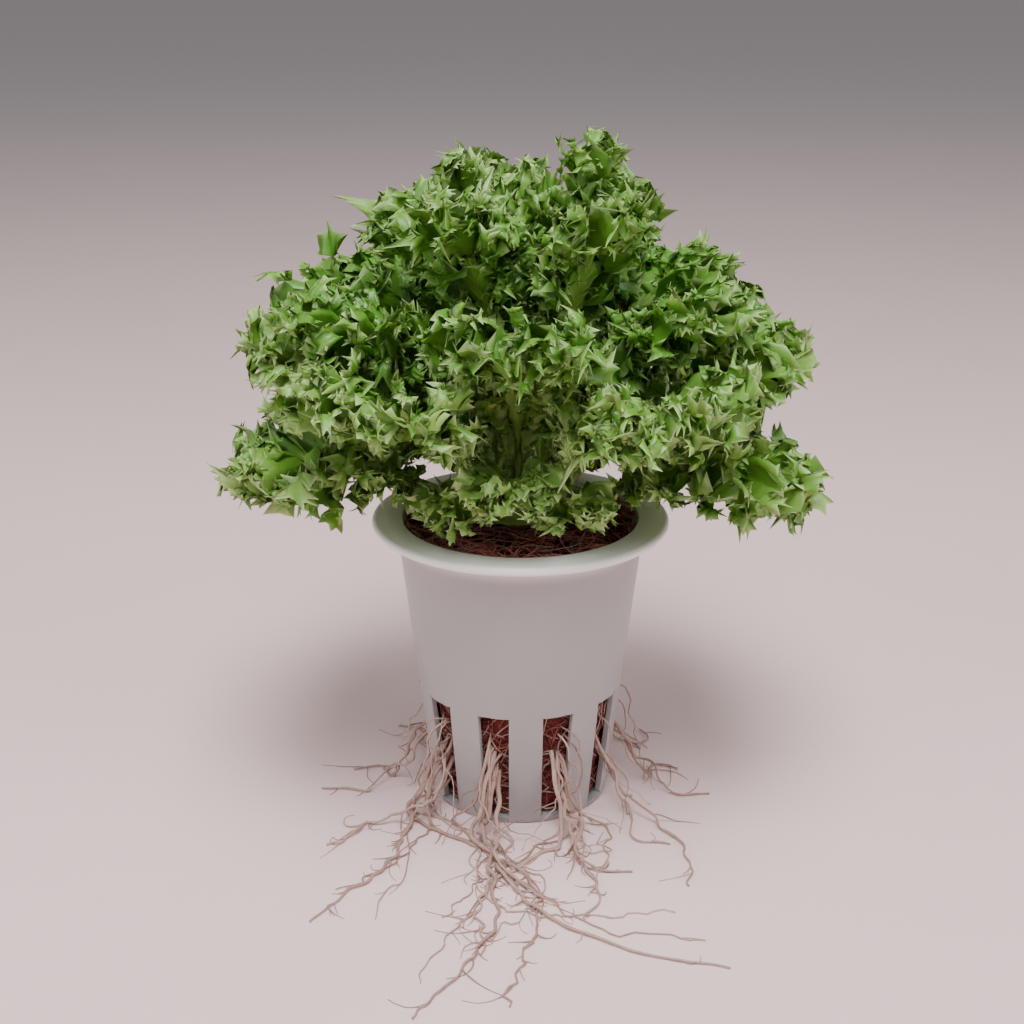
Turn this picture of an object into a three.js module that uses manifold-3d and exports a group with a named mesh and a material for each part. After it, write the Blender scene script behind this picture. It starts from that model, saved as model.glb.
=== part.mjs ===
// A curly endive plant growing in a white net cup: the cup, the coir plug that fills it, the roots that
// come out through its slots, the crown, and the frilled leaves. Millimetres, +Z up, the origin at the
// centre of the cup's underside, and the front of the plant towards -Y.
import * as THREE from "three";
import { mergeVertices } from "three/addons/utils/BufferGeometryUtils.js";
import Module from "manifold-3d";

// ---- Net cup ----
const CUP_HEIGHT = 61;
const FLANGE_RADIUS = 30;
const FLANGE_THICKNESS = 1.8;
const FLANGE_ROUND = 0.6;
const BODY_TOP_RADIUS = 25;
const BASE_RADIUS = 18.4;
const WALL = 1.3;
const BASE_THICKNESS = 1.4;
const CUP_FACETS = 40;
const SLOTS = 10;
const SLOT_TOP = 25.4;
const SLOT_WIDTH_TOP = 6.4;
const SLOT_WIDTH_BOTTOM = 4.9;
const CUP_TURN = 3; // degrees that the front rib stands to the right of the front
const DRAINS = 5;
const DRAIN_INNER = 7;
const DRAIN_OUTER = 13.5;
const DRAIN_WIDTH = 3;

// ---- Coir plug ----
const GAP = 0.35; // clearance between pieces that touch
const COIR_TOP = 58.6;
const COIR_LUMP = 0.8;
const COIR_DOME = 1.4;
const COIR_FACETS = 30;
const STEM_HOLE_RADIUS = 5.4;
const STEM_HOLE_DEPTH = 10;

// ---- Crown ----
const CROWN_PROFILE = [
  [0, 50.5], [5, 50.5], [5, 60.4], [8.6, 61.6], [8.8, 64.2], [7, 67], [4.4, 69.2], [0, 70.4],
];

// ---- Leaves ----
// Each tier lists its leaves as [direction, length], the direction in degrees with 0 to the front and 90
// to the right. rise and fall are the slopes of the midrib at the base and at the tip, and bend is above
// 1 where the midrib stays steep and turns over late. root is [radius, height] of the base, wedge is the
// half angle about the axis that a leaf keeps to, wave is how far the frilled margin swings, cup is the
// radius that a blade is bent to across, and rib is the share of the length where the midrib ends.
const TIERS = [
  { name: "short_leaf", leaves: [[-37, 19], [27, 19]], root: [10.8, 63.2], rise: 54, fall: -34,
    bend: 1.2, width: 17, wedge: 27, wave: 2.4, cup: 40, rib: 0.76, teeth: 16 },
  { name: "front_leaf", leaves: [[-6, 28]], root: [10.2, 65.4], rise: 57, fall: -32, bend: 1.3,
    width: 21, wedge: 23, wave: 2.4, cup: 60, rib: 0.76, teeth: 20 },
  { name: "outer_leaf", leaves: [[-77, 50], [76, 50], [-127, 52], [127, 52], [180, 52]],
    root: [10.2, 63.4], rise: 32, fall: -20, bend: 1.2, width: 44, wedge: 25.5, wave: 4.6, cup: 150,
    rib: 0.76, teeth: 28 },
  { name: "lower_leaf", leaves: [[-39, 54], [36, 53], [-97, 54], [95, 55], [-152, 54], [151, 54]],
    root: [9.4, 67.4], rise: 54, fall: -6, bend: 1.4, width: 46, wedge: 28.5, wave: 4.6, cup: 80,
    rib: 0.76, teeth: 28 },
  { name: "middle_leaf", leaves: [[-3, 56], [-62, 58], [59, 57], [-122, 56], [119, 56], [179, 56]],
    root: [7.6, 69.8], rise: 70, fall: 0, bend: 1.5, width: 42, wedge: 30, wave: 4.4, cup: 60,
    rib: 0.76, teeth: 28 },
  { name: "upper_leaf", leaves: [[-30, 59], [36, 60], [111, 57], [182, 58], [-108, 57]],
    root: [5.3, 72], rise: 82, fall: 42, bend: 1.5, width: 35, wedge: 36, wave: 3.6, cup: 40,
    rib: 0.76, teeth: 24 },
  { name: "heart_leaf", leaves: [[-58, 61], [64, 64], [186, 56]], root: [2.6, 73.6],
    rise: 88, fall: 60, bend: 1.4, width: 26, wedge: 58, wave: 2.6, cup: 40, rib: 0.86, teeth: 24 },
];
const PETIOLE_SHARE = 0.26; // of the leaf's length, before the blade widens
const PETIOLE_HALF_WIDTH = 2.6;
const BLADE_SKEW = 0.8; // under 1 puts the widest part of the blade nearer its tip
const CUT_AT_PETIOLE = 0.35; // how far the sinuses cut to the midrib, at the petiole and at the tip
const CUT_AT_TIP = 0.24;
const TOOTH_REACH = 0.26; // how far the longest teeth stand out, as a share of the half width
const TIP_SWING = 1.3; // swing of the tips of the teeth against that of the sinuses
const ROWS = [
  { out: 0, step: 4, frill: 0, thickness: 2 },
  { out: 0.4, step: 4, frill: 0.1, thickness: 1.2 },
  { out: 0.78, step: 2, frill: 0.8, thickness: 0.8 },
  { out: 1, step: 1, frill: 1, thickness: 0.8 },
];
const STEEPEST = 0.5; // cosine of the steepest slope that the thickness is kept up on
const WEDGE_GAP = 0.4;
const SPINE_STEPS = 40;
const SEED = 7;

// ---- Roots ----
// Each root is [direction of its tip in degrees, distance of its tip from the axis, sideways bow], and
// the roots of one slot are listed together, clockwise from the front right slot.
const ROOT_RADIUS = 0.75;
const ROOT_TIP_RADIUS = 0.42;
const ROOT_SIDES = 4;
const ROOT_STEPS = 11;
const LAY_OVER_GAP = 1.1;
const LAY_OVER_SLOPE = 0.3;
const LAY_OVER_REACH = 8;
const HIGHEST_CROSSING = 6;
const GROUND_LEVEL = 4; // a root below this height is lying on the ground
const ROOTS = [
  [[-7, 62, 7], [13, 54, -3], [30, 43, 5]],
  [[48, 40, 4], [38, 52, -5]],
  [[95, 34, -4], [80, 40, 4]],
  [[126, 36, 4], [138, 33, -3]],
  [[170, 38, 4], [158, 31, -4]],
  [[-166, 36, -4], [-156, 31, 4]],
  [[-130, 35, 4], [-142, 31, -3]],
  [[-95, 36, 4], [-84, 42, -4]],
  [[-2, 77, -16], [-36, 66, -3], [-54, 47, 4]],
  [[29, 77, 10], [-13, 83, -8], [8, 49, 3]],
];

const wasm = await Module();
wasm.setup();

const radians = THREE.MathUtils.degToRad;
const smooth = THREE.MathUtils.smoothstep;
const mix = THREE.MathUtils.lerp;

// The same number between 0 and 1 every time for a given pair of keys.
function chance(a, b) {
  const s = Math.sin(a * 12.9898 + b * 78.233 + SEED) * 43758.5453;
  return s - Math.floor(s);
}

// A point at a direction, a distance from the axis and a height.
function polar(direction, distance, height) {
  const a = radians(direction);
  return new THREE.Vector3(distance * Math.sin(a), -distance * Math.cos(a), height);
}

function geometry(vertices, triangles) {
  const made = new THREE.BufferGeometry();
  const numbers = vertices.flatMap((v) => [v.x, v.y, v.z]);
  made.setAttribute("position", new THREE.Float32BufferAttribute(numbers, 3));
  made.setIndex(triangles.flat());
  made.computeVertexNormals();
  return made;
}

// A closed geometry as a solid for joining and cutting.
function solid(source) {
  const bare = source.clone();
  bare.deleteAttribute("normal");
  bare.deleteAttribute("uv");
  const merged = mergeVertices(bare, 1e-4);
  return new wasm.Manifold(
    new wasm.Mesh({
      numProp: 3,
      vertProperties: new Float32Array(merged.attributes.position.array),
      triVerts: new Uint32Array(merged.index.array),
    }),
  );
}

// A solid back as a geometry.
function surface(made) {
  const mesh = made.getMesh();
  const back = new THREE.BufferGeometry();
  back.setAttribute("position", new THREE.BufferAttribute(new Float32Array(mesh.vertProperties), 3));
  back.setIndex(new THREE.BufferAttribute(new Uint32Array(mesh.triVerts), 1));
  back.computeVertexNormals();
  return back;
}

// A profile of [radius, height] pairs turned about the Z axis.
function turned(profile, facets) {
  const points = profile.map(([r, z]) => new THREE.Vector2(r, z));
  return new THREE.LatheGeometry(points, facets).rotateX(Math.PI / 2);
}

// A closed tube along points, with a radius for each of them and a point at neither end.
function sweep(points, radii, sides) {
  const vertices = [];
  const triangles = [];
  let across = new THREE.Vector3(0.31, 0.17, 0.93);
  points.forEach((point, i) => {
    const before = points[Math.max(i - 1, 0)];
    const after = points[Math.min(i + 1, points.length - 1)];
    const along = after.clone().sub(before).normalize();
    across.addScaledVector(along, -across.dot(along)).normalize();
    const other = along.clone().cross(across);
    for (let k = 0; k < sides; k += 1) {
      const turn = (2 * Math.PI * k) / sides;
      vertices.push(
        point.clone()
          .addScaledVector(across, radii[i] * Math.cos(turn))
          .addScaledVector(other, radii[i] * Math.sin(turn)),
      );
    }
  });
  for (let i = 0; i < points.length - 1; i += 1) {
    for (let k = 0; k < sides; k += 1) {
      const a = i * sides + k;
      const b = i * sides + ((k + 1) % sides);
      triangles.push([a, b, b + sides], [a, b + sides, a + sides]);
    }
  }
  const last = (points.length - 1) * sides;
  for (let k = 1; k < sides - 1; k += 1) {
    triangles.push([0, k + 1, k], [last, last + k, last + k + 1]);
  }
  return geometry(vertices, triangles);
}

// ---- Net cup ----

function cupRadius(height) {
  return mix(BASE_RADIUS, BODY_TOP_RADIUS, height / (CUP_HEIGHT - FLANGE_THICKNESS));
}

function slotCutter() {
  const shape = new THREE.Shape([
    new THREE.Vector2(-SLOT_WIDTH_BOTTOM / 2, BASE_THICKNESS),
    new THREE.Vector2(SLOT_WIDTH_BOTTOM / 2, BASE_THICKNESS),
    new THREE.Vector2(SLOT_WIDTH_TOP / 2, SLOT_TOP),
    new THREE.Vector2(-SLOT_WIDTH_TOP / 2, SLOT_TOP),
  ]);
  const depth = BASE_RADIUS;
  const block = new THREE.ExtrudeGeometry(shape, { depth, bevelEnabled: false });
  return block.rotateX(Math.PI / 2).translate(0, -BASE_RADIUS / 2, 0);
}

function drainCutter() {
  const length = DRAIN_OUTER - DRAIN_INNER;
  const block = new THREE.BoxGeometry(DRAIN_WIDTH, length, 4 * BASE_THICKNESS);
  return block.translate(0, -(DRAIN_INNER + DRAIN_OUTER) / 2, 0);
}

function netCup() {
  const under = CUP_HEIGHT - FLANGE_THICKNESS;
  let made = solid(
    turned(
      [
        [0, 0],
        [BASE_RADIUS - FLANGE_ROUND, 0],
        [BASE_RADIUS, FLANGE_ROUND],
        [BODY_TOP_RADIUS, under],
        [FLANGE_RADIUS - FLANGE_ROUND, under],
        [FLANGE_RADIUS, under + FLANGE_ROUND],
        [FLANGE_RADIUS, CUP_HEIGHT - FLANGE_ROUND],
        [FLANGE_RADIUS - FLANGE_ROUND, CUP_HEIGHT],
        [BODY_TOP_RADIUS - WALL + FLANGE_ROUND, CUP_HEIGHT],
        [BODY_TOP_RADIUS - WALL, under + FLANGE_ROUND],
        [BASE_RADIUS - WALL, BASE_THICKNESS],
        [0, BASE_THICKNESS],
      ],
      CUP_FACETS,
    ),
  );
  for (let k = 0; k < SLOTS; k += 1) {
    const direction = CUP_TURN + (360 * (k + 0.5)) / SLOTS;
    made = made.subtract(solid(slotCutter().rotateZ(radians(direction))));
  }
  for (let k = 0; k < DRAINS; k += 1) {
    made = made.subtract(solid(drainCutter().rotateZ(radians(CUP_TURN + (360 * k) / DRAINS))));
  }
  return surface(made);
}

// ---- Coir plug ----

// Height of the coir's top at a distance and direction: a low dome with lumps.
function coirTop(distance, turn) {
  const share = distance / BODY_TOP_RADIUS;
  const lumps = Math.sin(3 * turn + 0.7) * Math.cos(7 * share + 1.1) + 0.6 * Math.sin(7 * turn + 9 * share);
  return COIR_TOP + COIR_DOME * (1 - share * share) + COIR_LUMP * lumps * share;
}

function coirBody() {
  const wall = (height) => cupRadius(height) - WALL - GAP;
  const foot = BASE_THICKNESS + GAP;
  const edge = COIR_TOP - 1.6;
  const vertices = [new THREE.Vector3(0, 0, foot)];
  const triangles = [];
  const rings = [
    [wall(foot) - 0.4, () => foot],
    [wall(foot + 1), () => foot + 1],
    [wall(edge), () => edge],
    [wall(edge) - 1.2, (turn) => coirTop(wall(edge), turn)],
    [wall(edge) * 0.72, (turn) => coirTop(wall(edge) * 0.72, turn)],
    [wall(edge) * 0.45, (turn) => coirTop(wall(edge) * 0.45, turn)],
  ];
  for (const [radius, height] of rings) {
    for (let k = 0; k < COIR_FACETS; k += 1) {
      const turn = (2 * Math.PI * k) / COIR_FACETS;
      vertices.push(new THREE.Vector3(radius * Math.cos(turn), radius * Math.sin(turn), height(turn)));
    }
  }
  vertices.push(new THREE.Vector3(0, 0, coirTop(0, 0)));
  const top = vertices.length - 1;
  for (let k = 0; k < COIR_FACETS; k += 1) {
    const next = (k + 1) % COIR_FACETS;
    triangles.push([0, 1 + next, 1 + k]);
    for (let ring = 0; ring < rings.length - 1; ring += 1) {
      const a = 1 + ring * COIR_FACETS;
      const b = a + COIR_FACETS;
      triangles.push([a + k, a + next, b + next], [a + k, b + next, b + k]);
    }
    const inner = 1 + (rings.length - 1) * COIR_FACETS;
    triangles.push([inner + k, inner + next, top]);
  }
  return geometry(vertices, triangles);
}

function coirPlug() {
  const hole = new THREE.CylinderGeometry(STEM_HOLE_RADIUS, STEM_HOLE_RADIUS, 2 * STEM_HOLE_DEPTH, 20);
  hole.rotateX(Math.PI / 2).translate(0, 0, COIR_TOP + COIR_DOME);
  return surface(solid(coirBody()).subtract(solid(hole)));
}

// ---- Leaves ----

// The midrib: a curve in the upright plane of the leaf's direction, as points with their frames.
function midrib(leaf, tier) {
  const steps = [];
  const outward = polar(leaf.direction, 1, 0);
  const across = outward.clone().cross(new THREE.Vector3(0, 0, 1));
  const point = polar(leaf.direction, tier.root[0], tier.root[1]);
  for (let i = 0; i <= SPINE_STEPS; i += 1) {
    const slope = radians(mix(leaf.rise, leaf.fall, (i / SPINE_STEPS) ** tier.bend));
    const along = outward.clone().multiplyScalar(Math.cos(slope));
    along.z = Math.sin(slope);
    const up = outward.clone().multiplyScalar(-Math.sin(slope));
    up.z = Math.cos(slope);
    steps.push({ point: point.clone(), along, up, across });
    point.addScaledVector(along, leaf.length / SPINE_STEPS);
  }
  return steps;
}

// The midrib at a distance along the leaf.
function ribAt(leaf, spine, y) {
  const at = THREE.MathUtils.clamp((y / leaf.length) * SPINE_STEPS, 0, SPINE_STEPS - 1e-6);
  const i = Math.floor(at);
  return {
    point: spine[i].point.clone().lerp(spine[i + 1].point, at - i)
      .addScaledVector(spine[i].along, Math.max(0, y - leaf.length)),
    up: spine[i].up.clone().lerp(spine[i + 1].up, at - i).normalize(),
    across: spine[i].across,
  };
}

// Leaves of one tier stand round the axis, so each is drawn in at the sides to keep to its own wedge.
function keptWidth(tier, leaf, spine, width, along) {
  const { point, up } = ribAt(leaf, spine, along);
  const outward = polar(leaf.direction, 1, 0);
  const frill = 0.5 * tier.wave + (0.5 * width * width) / (2 * tier.cup);
  const distance = point.dot(outward) + Math.min(0, up.dot(outward)) * frill;
  const room = Math.max(1, distance * Math.tan(radians(tier.wedge)) - WEDGE_GAP) / (1 + TOOTH_REACH);
  return width / (1 + (width / room) ** 4) ** 0.25;
}

// One side of the leaf's outline from its base to its tip, evenly spaced: the half width, the distance
// along the leaf, and the distance along where the vein to that point leaves the midrib.
function outline(tier, leaf, spine, count) {
  const fine = [];
  const addPoint = (width, along) => fine.push([keptWidth(tier, leaf, spine, width, along), along]);
  for (let i = 0; i <= 40; i += 1) {
    addPoint(PETIOLE_HALF_WIDTH, (PETIOLE_SHARE * leaf.length * i) / 40);
  }
  for (let i = 1; i <= 120; i += 1) {
    const turn = -Math.PI / 2 + (Math.PI * i) / 120;
    const bulge = (leaf.width / 2) * Math.cos(turn) ** 0.8;
    const floor = i < 60 ? PETIOLE_HALF_WIDTH : 0;
    const along = PETIOLE_SHARE + (1 - PETIOLE_SHARE) * (0.5 + 0.5 * Math.sin(turn)) ** BLADE_SKEW;
    addPoint(Math.max(bulge, floor), leaf.length * along);
  }
  const run = [0];
  for (let i = 1; i < fine.length; i += 1) {
    run.push(run[i - 1] + Math.hypot(fine[i][0] - fine[i - 1][0], fine[i][1] - fine[i - 1][1]));
  }
  const total = run[run.length - 1];
  const petiole = (PETIOLE_SHARE * leaf.length) / total;
  const points = [];
  let at = 0;
  for (let i = 0; i < count; i += 1) {
    const share = i / (count - 1);
    while (at < run.length - 2 && run[at + 1] < total * share) at += 1;
    const past = (total * share - run[at]) / (run[at + 1] - run[at]);
    const width = mix(fine[at][0], fine[at + 1][0], past);
    const along = mix(fine[at][1], fine[at + 1][1], past);
    const fan = Math.max(0, share - petiole) / (1 - petiole);
    const vein = fan > 0 ? leaf.length * mix(PETIOLE_SHARE, tier.rib, fan) : along;
    points.push({ width, along, vein });
  }
  return points;
}

// A point of the leaf, x across it and y along it, raised by lift from the cupped blade.
function onLeaf(tier, leaf, spine, x, y, lift) {
  const { point, up, across } = ribAt(leaf, spine, y);
  return { at: point.addScaledVector(across, x).addScaledVector(up, (x * x) / (2 * tier.cup) + lift), up };
}

// The middle surface of a leaf: rows of points from the midrib out to the margin. The margin has a point
// at the tip of each tooth and at each sinus, the row inside it a point behind each sinus that swings up
// and down in turn, and the rows further in have half as many points each.
function leafRows(tier, leaf) {
  const spine = midrib(leaf, tier);
  const columns = 2 * tier.teeth;
  const half = outline(tier, leaf, spine, tier.teeth + 1);
  return ROWS.map(({ out, step, frill, thickness }) => {
    const points = [];
    const end = out === 0 ? tier.teeth : columns;
    for (let c = 0; c <= end; c += step) {
      const side = c <= tier.teeth ? -1 : 1;
      const i = Math.min(c, columns - c);
      const share = i / tier.teeth;
      const { width, along, vein } = half[i];
      const strength = mix(0.3, 1, smooth(share, 0.15, 0.55));
      const tooth = leaf.key + c;
      const cut = mix(CUT_AT_PETIOLE, CUT_AT_TIP, smooth(share, 0.1, 0.7)) * (0.6 + 0.4 * chance(tooth, 8));
      let reach = out * (1 - cut);
      let swing = ((c / 2) % 2 ? 1 : -1) * (0.75 + 0.5 * chance(tooth, 7));
      if (c % 2) {
        reach = 1 + TOOTH_REACH * chance(tooth, 5);
        swing = TIP_SWING * 2 * (chance(tooth, 6) - 0.5);
      }
      const lift = tier.wave * strength * frill * swing;
      const point = onLeaf(tier, leaf, spine, side * width * reach, mix(vein, along, reach), lift);
      point.thickness = out === 0 ? thickness * (1 - 0.5 * share) : thickness;
      points.push(point);
    }
    return points;
  });
}

// Triangles between two rows where the outer one has as many or twice as many spaces as the inner one.
function bridge(inner, outer) {
  const triangles = [];
  const ratio = (outer.length - 1) / (inner.length - 1);
  for (let i = 0; i < inner.length - 1; i += 1) {
    const [a, b] = [inner[i], inner[i + 1]];
    const far = outer.slice(i * ratio, (i + 1) * ratio + 1);
    if (ratio === 2) {
      triangles.push([a, far[1], far[0]], [a, b, far[1]], [b, far[2], far[1]]);
    } else if (i % 2) {
      triangles.push([a, far[1], far[0]], [a, b, far[1]]);
    } else {
      triangles.push([a, b, far[0]], [b, far[1], far[0]]);
    }
  }
  return triangles;
}

// How far each point of a sheet is moved to either face along its own up direction. It grows where the
// sheet is steep, so that the blade keeps its thickness there.
function faceOffsets(points, sheet) {
  const steepness = points.map(() => [0, 0]);
  for (const corners of sheet) {
    const [a, b, c] = corners.map((corner) => points[corner].at);
    const face = b.clone().sub(a).cross(c.clone().sub(a)).normalize();
    for (const corner of corners) {
      steepness[corner][0] += face.dot(points[corner].up);
      steepness[corner][1] += 1;
    }
  }
  return points.map((point, i) => {
    const level = steepness[i][0] / steepness[i][1];
    return point.thickness / 2 / Math.max(STEEPEST, level);
  });
}

function leafGeometry(tier, leaf) {
  const rows = leafRows(tier, leaf);
  const middle = [];
  const numbers = rows.map((row) => row.map((point) => middle.push(point) - 1));
  const [rib, inner, outer, margin] = numbers;
  const centre = inner.length >> 1;
  const sheet = [
    ...bridge(rib, inner.slice(0, centre + 1)),
    ...bridge([...rib].reverse(), inner.slice(centre)),
    ...bridge(inner, outer),
    ...bridge(outer, margin),
  ];
  const edge = [...margin, outer[outer.length - 1], inner[inner.length - 1], rib[0], inner[0], outer[0]];
  const offsets = faceOffsets(middle, sheet);
  const count = middle.length;
  const vertices = [1, -1].flatMap((face) =>
    middle.map((point, i) => point.at.clone().addScaledVector(point.up, face * offsets[i])),
  );
  const triangles = [...sheet, ...sheet.map(([a, b, c]) => [a + count, c + count, b + count])];
  edge.forEach((a, i) => {
    const b = edge[(i + 1) % edge.length];
    triangles.push([a, b + count, a + count], [a, b, b + count]);
  });
  return geometry(vertices, triangles);
}

// ---- Roots ----

// The line of one root: out of its slot, down to the ground and along it to its tip.
function rootLine(slot, index, [direction, distance, bow]) {
  const slotDirection = CUP_TURN + (360 * (slot + 0.5)) / SLOTS;
  const height = 14 - 2.2 * index;
  const side = (index - 1) * 3.2;
  const leave = cupRadius(height);
  const tip = polar(direction, distance, ROOT_TIP_RADIUS);
  const landing = polar(slotDirection + side, leave + 8, ROOT_RADIUS);
  const middle = landing.clone().lerp(tip, 0.5);
  const sideways = tip.clone().sub(landing).cross(new THREE.Vector3(0, 0, 1)).normalize();
  middle.addScaledVector(sideways, bow);
  const curve = new THREE.CatmullRomCurve3(
    [
      polar(slotDirection + side / 2, leave, height),
      polar(slotDirection + side, leave + 2.6, height - 2.5),
      polar(slotDirection + side, leave + 5, height * 0.35 + ROOT_RADIUS),
      landing,
      middle,
      tip,
    ],
    false,
    "centripetal",
  );
  return curve.getSpacedPoints(ROOT_STEPS * 4);
}

// Lifts a root where it passes over the ones laid before it.
function layOver(line, laid) {
  return line.map((point) => {
    let height = Math.max(point.z, ROOT_TIP_RADIUS);
    for (const under of laid) {
      const apart = Math.hypot(point.x - under.x, point.y - under.y);
      const drop = LAY_OVER_SLOPE * Math.max(0, apart - ROOT_RADIUS);
      const needed = Math.min(under.z + 2 * ROOT_RADIUS + LAY_OVER_GAP - drop, HIGHEST_CROSSING);
      if (under.z < GROUND_LEVEL && apart < LAY_OVER_REACH) height = Math.max(height, needed);
    }
    return new THREE.Vector3(point.x, point.y, height);
  });
}

function rootBunch(slot, laid) {
  const direction = CUP_TURN + (360 * (slot + 0.5)) / SLOTS;
  const height = 12;
  const knot = new THREE.SphereGeometry(1, 6, 4).scale(1.9, 0.9, 5.5);
  knot.rotateZ(radians(direction));
  const at = polar(direction, cupRadius(height) - 0.15, height);
  let made = solid(knot.translate(at.x, at.y, at.z));
  const own = [];
  ROOTS[slot].forEach((route, index) => {
    const line = layOver(rootLine(slot, index, route), laid);
    own.push(...line);
    const points = line.filter((_, i) => i % 4 === 0);
    const radii = points.map((_, i) => mix(ROOT_RADIUS, ROOT_TIP_RADIUS, i / (points.length - 1)));
    points.forEach((point, i) => {
      point.z = Math.max(point.z, radii[i]);
    });
    made = made.add(solid(sweep(points, radii, ROOT_SIDES)));
  });
  laid.push(...own);
  return surface(made);
}

// ---- The plant ----

const plant = new THREE.Group();

function add(name, shape, colour, roughness) {
  const material = new THREE.MeshStandardMaterial({ color: colour, roughness, metalness: 0 });
  const mesh = new THREE.Mesh(shape, material);
  mesh.name = name;
  plant.add(mesh);
}

add("net_cup", netCup(), "#d9d6d4", 0.45);
add("coir_plug", coirPlug(), "#4a241a", 0.95);
add("crown", turned(CROWN_PROFILE, 20), "#a9bd76", 0.6);
TIERS.forEach((tier, t) => {
  tier.leaves.forEach(([direction, length], k) => {
    const key = 100 * t + 10 * k;
    const leaf = {
      key,
      direction,
      length,
      rise: tier.rise + 4 * (chance(key, 1) - 0.5),
      fall: tier.fall + 8 * (chance(key, 2) - 0.5),
      width: tier.width * (0.95 + 0.1 * chance(key, 4)),
    };
    add(`${tier.name}_${k + 1}`, leafGeometry(tier, leaf), "#5c8a33", 0.55);
  });
});
const laid = [];
ROOTS.forEach((_, slot) => {
  add(`roots_slot_${slot + 1}`, rootBunch(slot, laid), "#c9a994", 0.7);
});

export default plant;
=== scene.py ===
"""A young curly endive plant in a net cup: the finish and fine form of every piece, on the CAD frame."""

import math

import bpy
import numpy as np
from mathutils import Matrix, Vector


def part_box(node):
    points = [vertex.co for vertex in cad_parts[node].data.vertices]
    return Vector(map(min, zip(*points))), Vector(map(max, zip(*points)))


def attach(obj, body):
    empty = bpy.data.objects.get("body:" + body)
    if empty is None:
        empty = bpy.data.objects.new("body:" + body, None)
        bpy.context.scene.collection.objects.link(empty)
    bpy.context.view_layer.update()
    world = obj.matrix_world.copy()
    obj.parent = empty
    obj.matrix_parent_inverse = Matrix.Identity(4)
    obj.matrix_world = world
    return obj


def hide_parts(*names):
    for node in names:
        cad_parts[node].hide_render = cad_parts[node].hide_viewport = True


bl_info = {
    "name": "Curly Endive Plant",
    "version": (1, 0, 0),
    "blender": (4, 5, 0),
    "location": "View3D > Sidebar > Endive",
    "description": "Builds a curly endive plant in a net cup, leaf by leaf",
    "category": "Add Mesh",
}

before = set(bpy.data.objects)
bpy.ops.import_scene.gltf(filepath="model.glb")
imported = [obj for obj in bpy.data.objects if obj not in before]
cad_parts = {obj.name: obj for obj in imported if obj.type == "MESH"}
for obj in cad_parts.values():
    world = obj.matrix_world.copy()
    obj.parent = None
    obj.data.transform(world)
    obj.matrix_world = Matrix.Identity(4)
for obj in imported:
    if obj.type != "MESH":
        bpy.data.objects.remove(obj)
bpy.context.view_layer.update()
MM = 0.001

# ---- The cup and the coir, in millimetres, with the front towards -Y ----

CUP_HIGH = np.array(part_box("net_cup")[1]) / MM
BODY_TOP_RADIUS = 25.0
BASE_RADIUS = 18.4
WALL = 1.3
BASE_THICKNESS = 1.4
CAP_RADIUS = 3  # radius of the round face in the middle of a base
FLANGE_THICKNESS = 1.8
FILLET = 1.2
SLOTS = 10
SLOT_TOP = 25.4
SLOT_WIDTH_TOP = 6.4
SLOT_WIDTH_BOTTOM = 4.9
SLOT_COLUMNS = 6  # columns of the mesh across a slot
RIB_COLUMNS = 8
SLOT_ROWS = 9
EDGE_ROUNDING = 0.22
CUP_TURN = 3.0  # degrees that the front rib stands to the right of the front
COIR_GAP = 0.35
COIR_TOP = 58.6
COIR_COLUMNS = 144
COIR_SIDE_ROWS = 34
COIR_SLACK = 0.3  # room that the fine coir leaves inside its solid
COIR_TOP_SHARES = (0.97, 0.9, 0.82, 0.74, 0.66, 0.58, 0.5, 0.42, 0.36, 0.3)
FIBRE_REACH = 23.1  # how far from the axis the loose fibres lie

# ---- The leaves, in millimetres ----

# The share of a frill's small lobes that stands on each row of the blade, from the margin inwards.
OUTER_ROWS = (0.62, 0.12, 0.1, 0.09, 0.07)
INNER_ROWS = (0.42, 0.12, 0.12, 0.12, 0.1, 0.08, 0.04)

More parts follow.
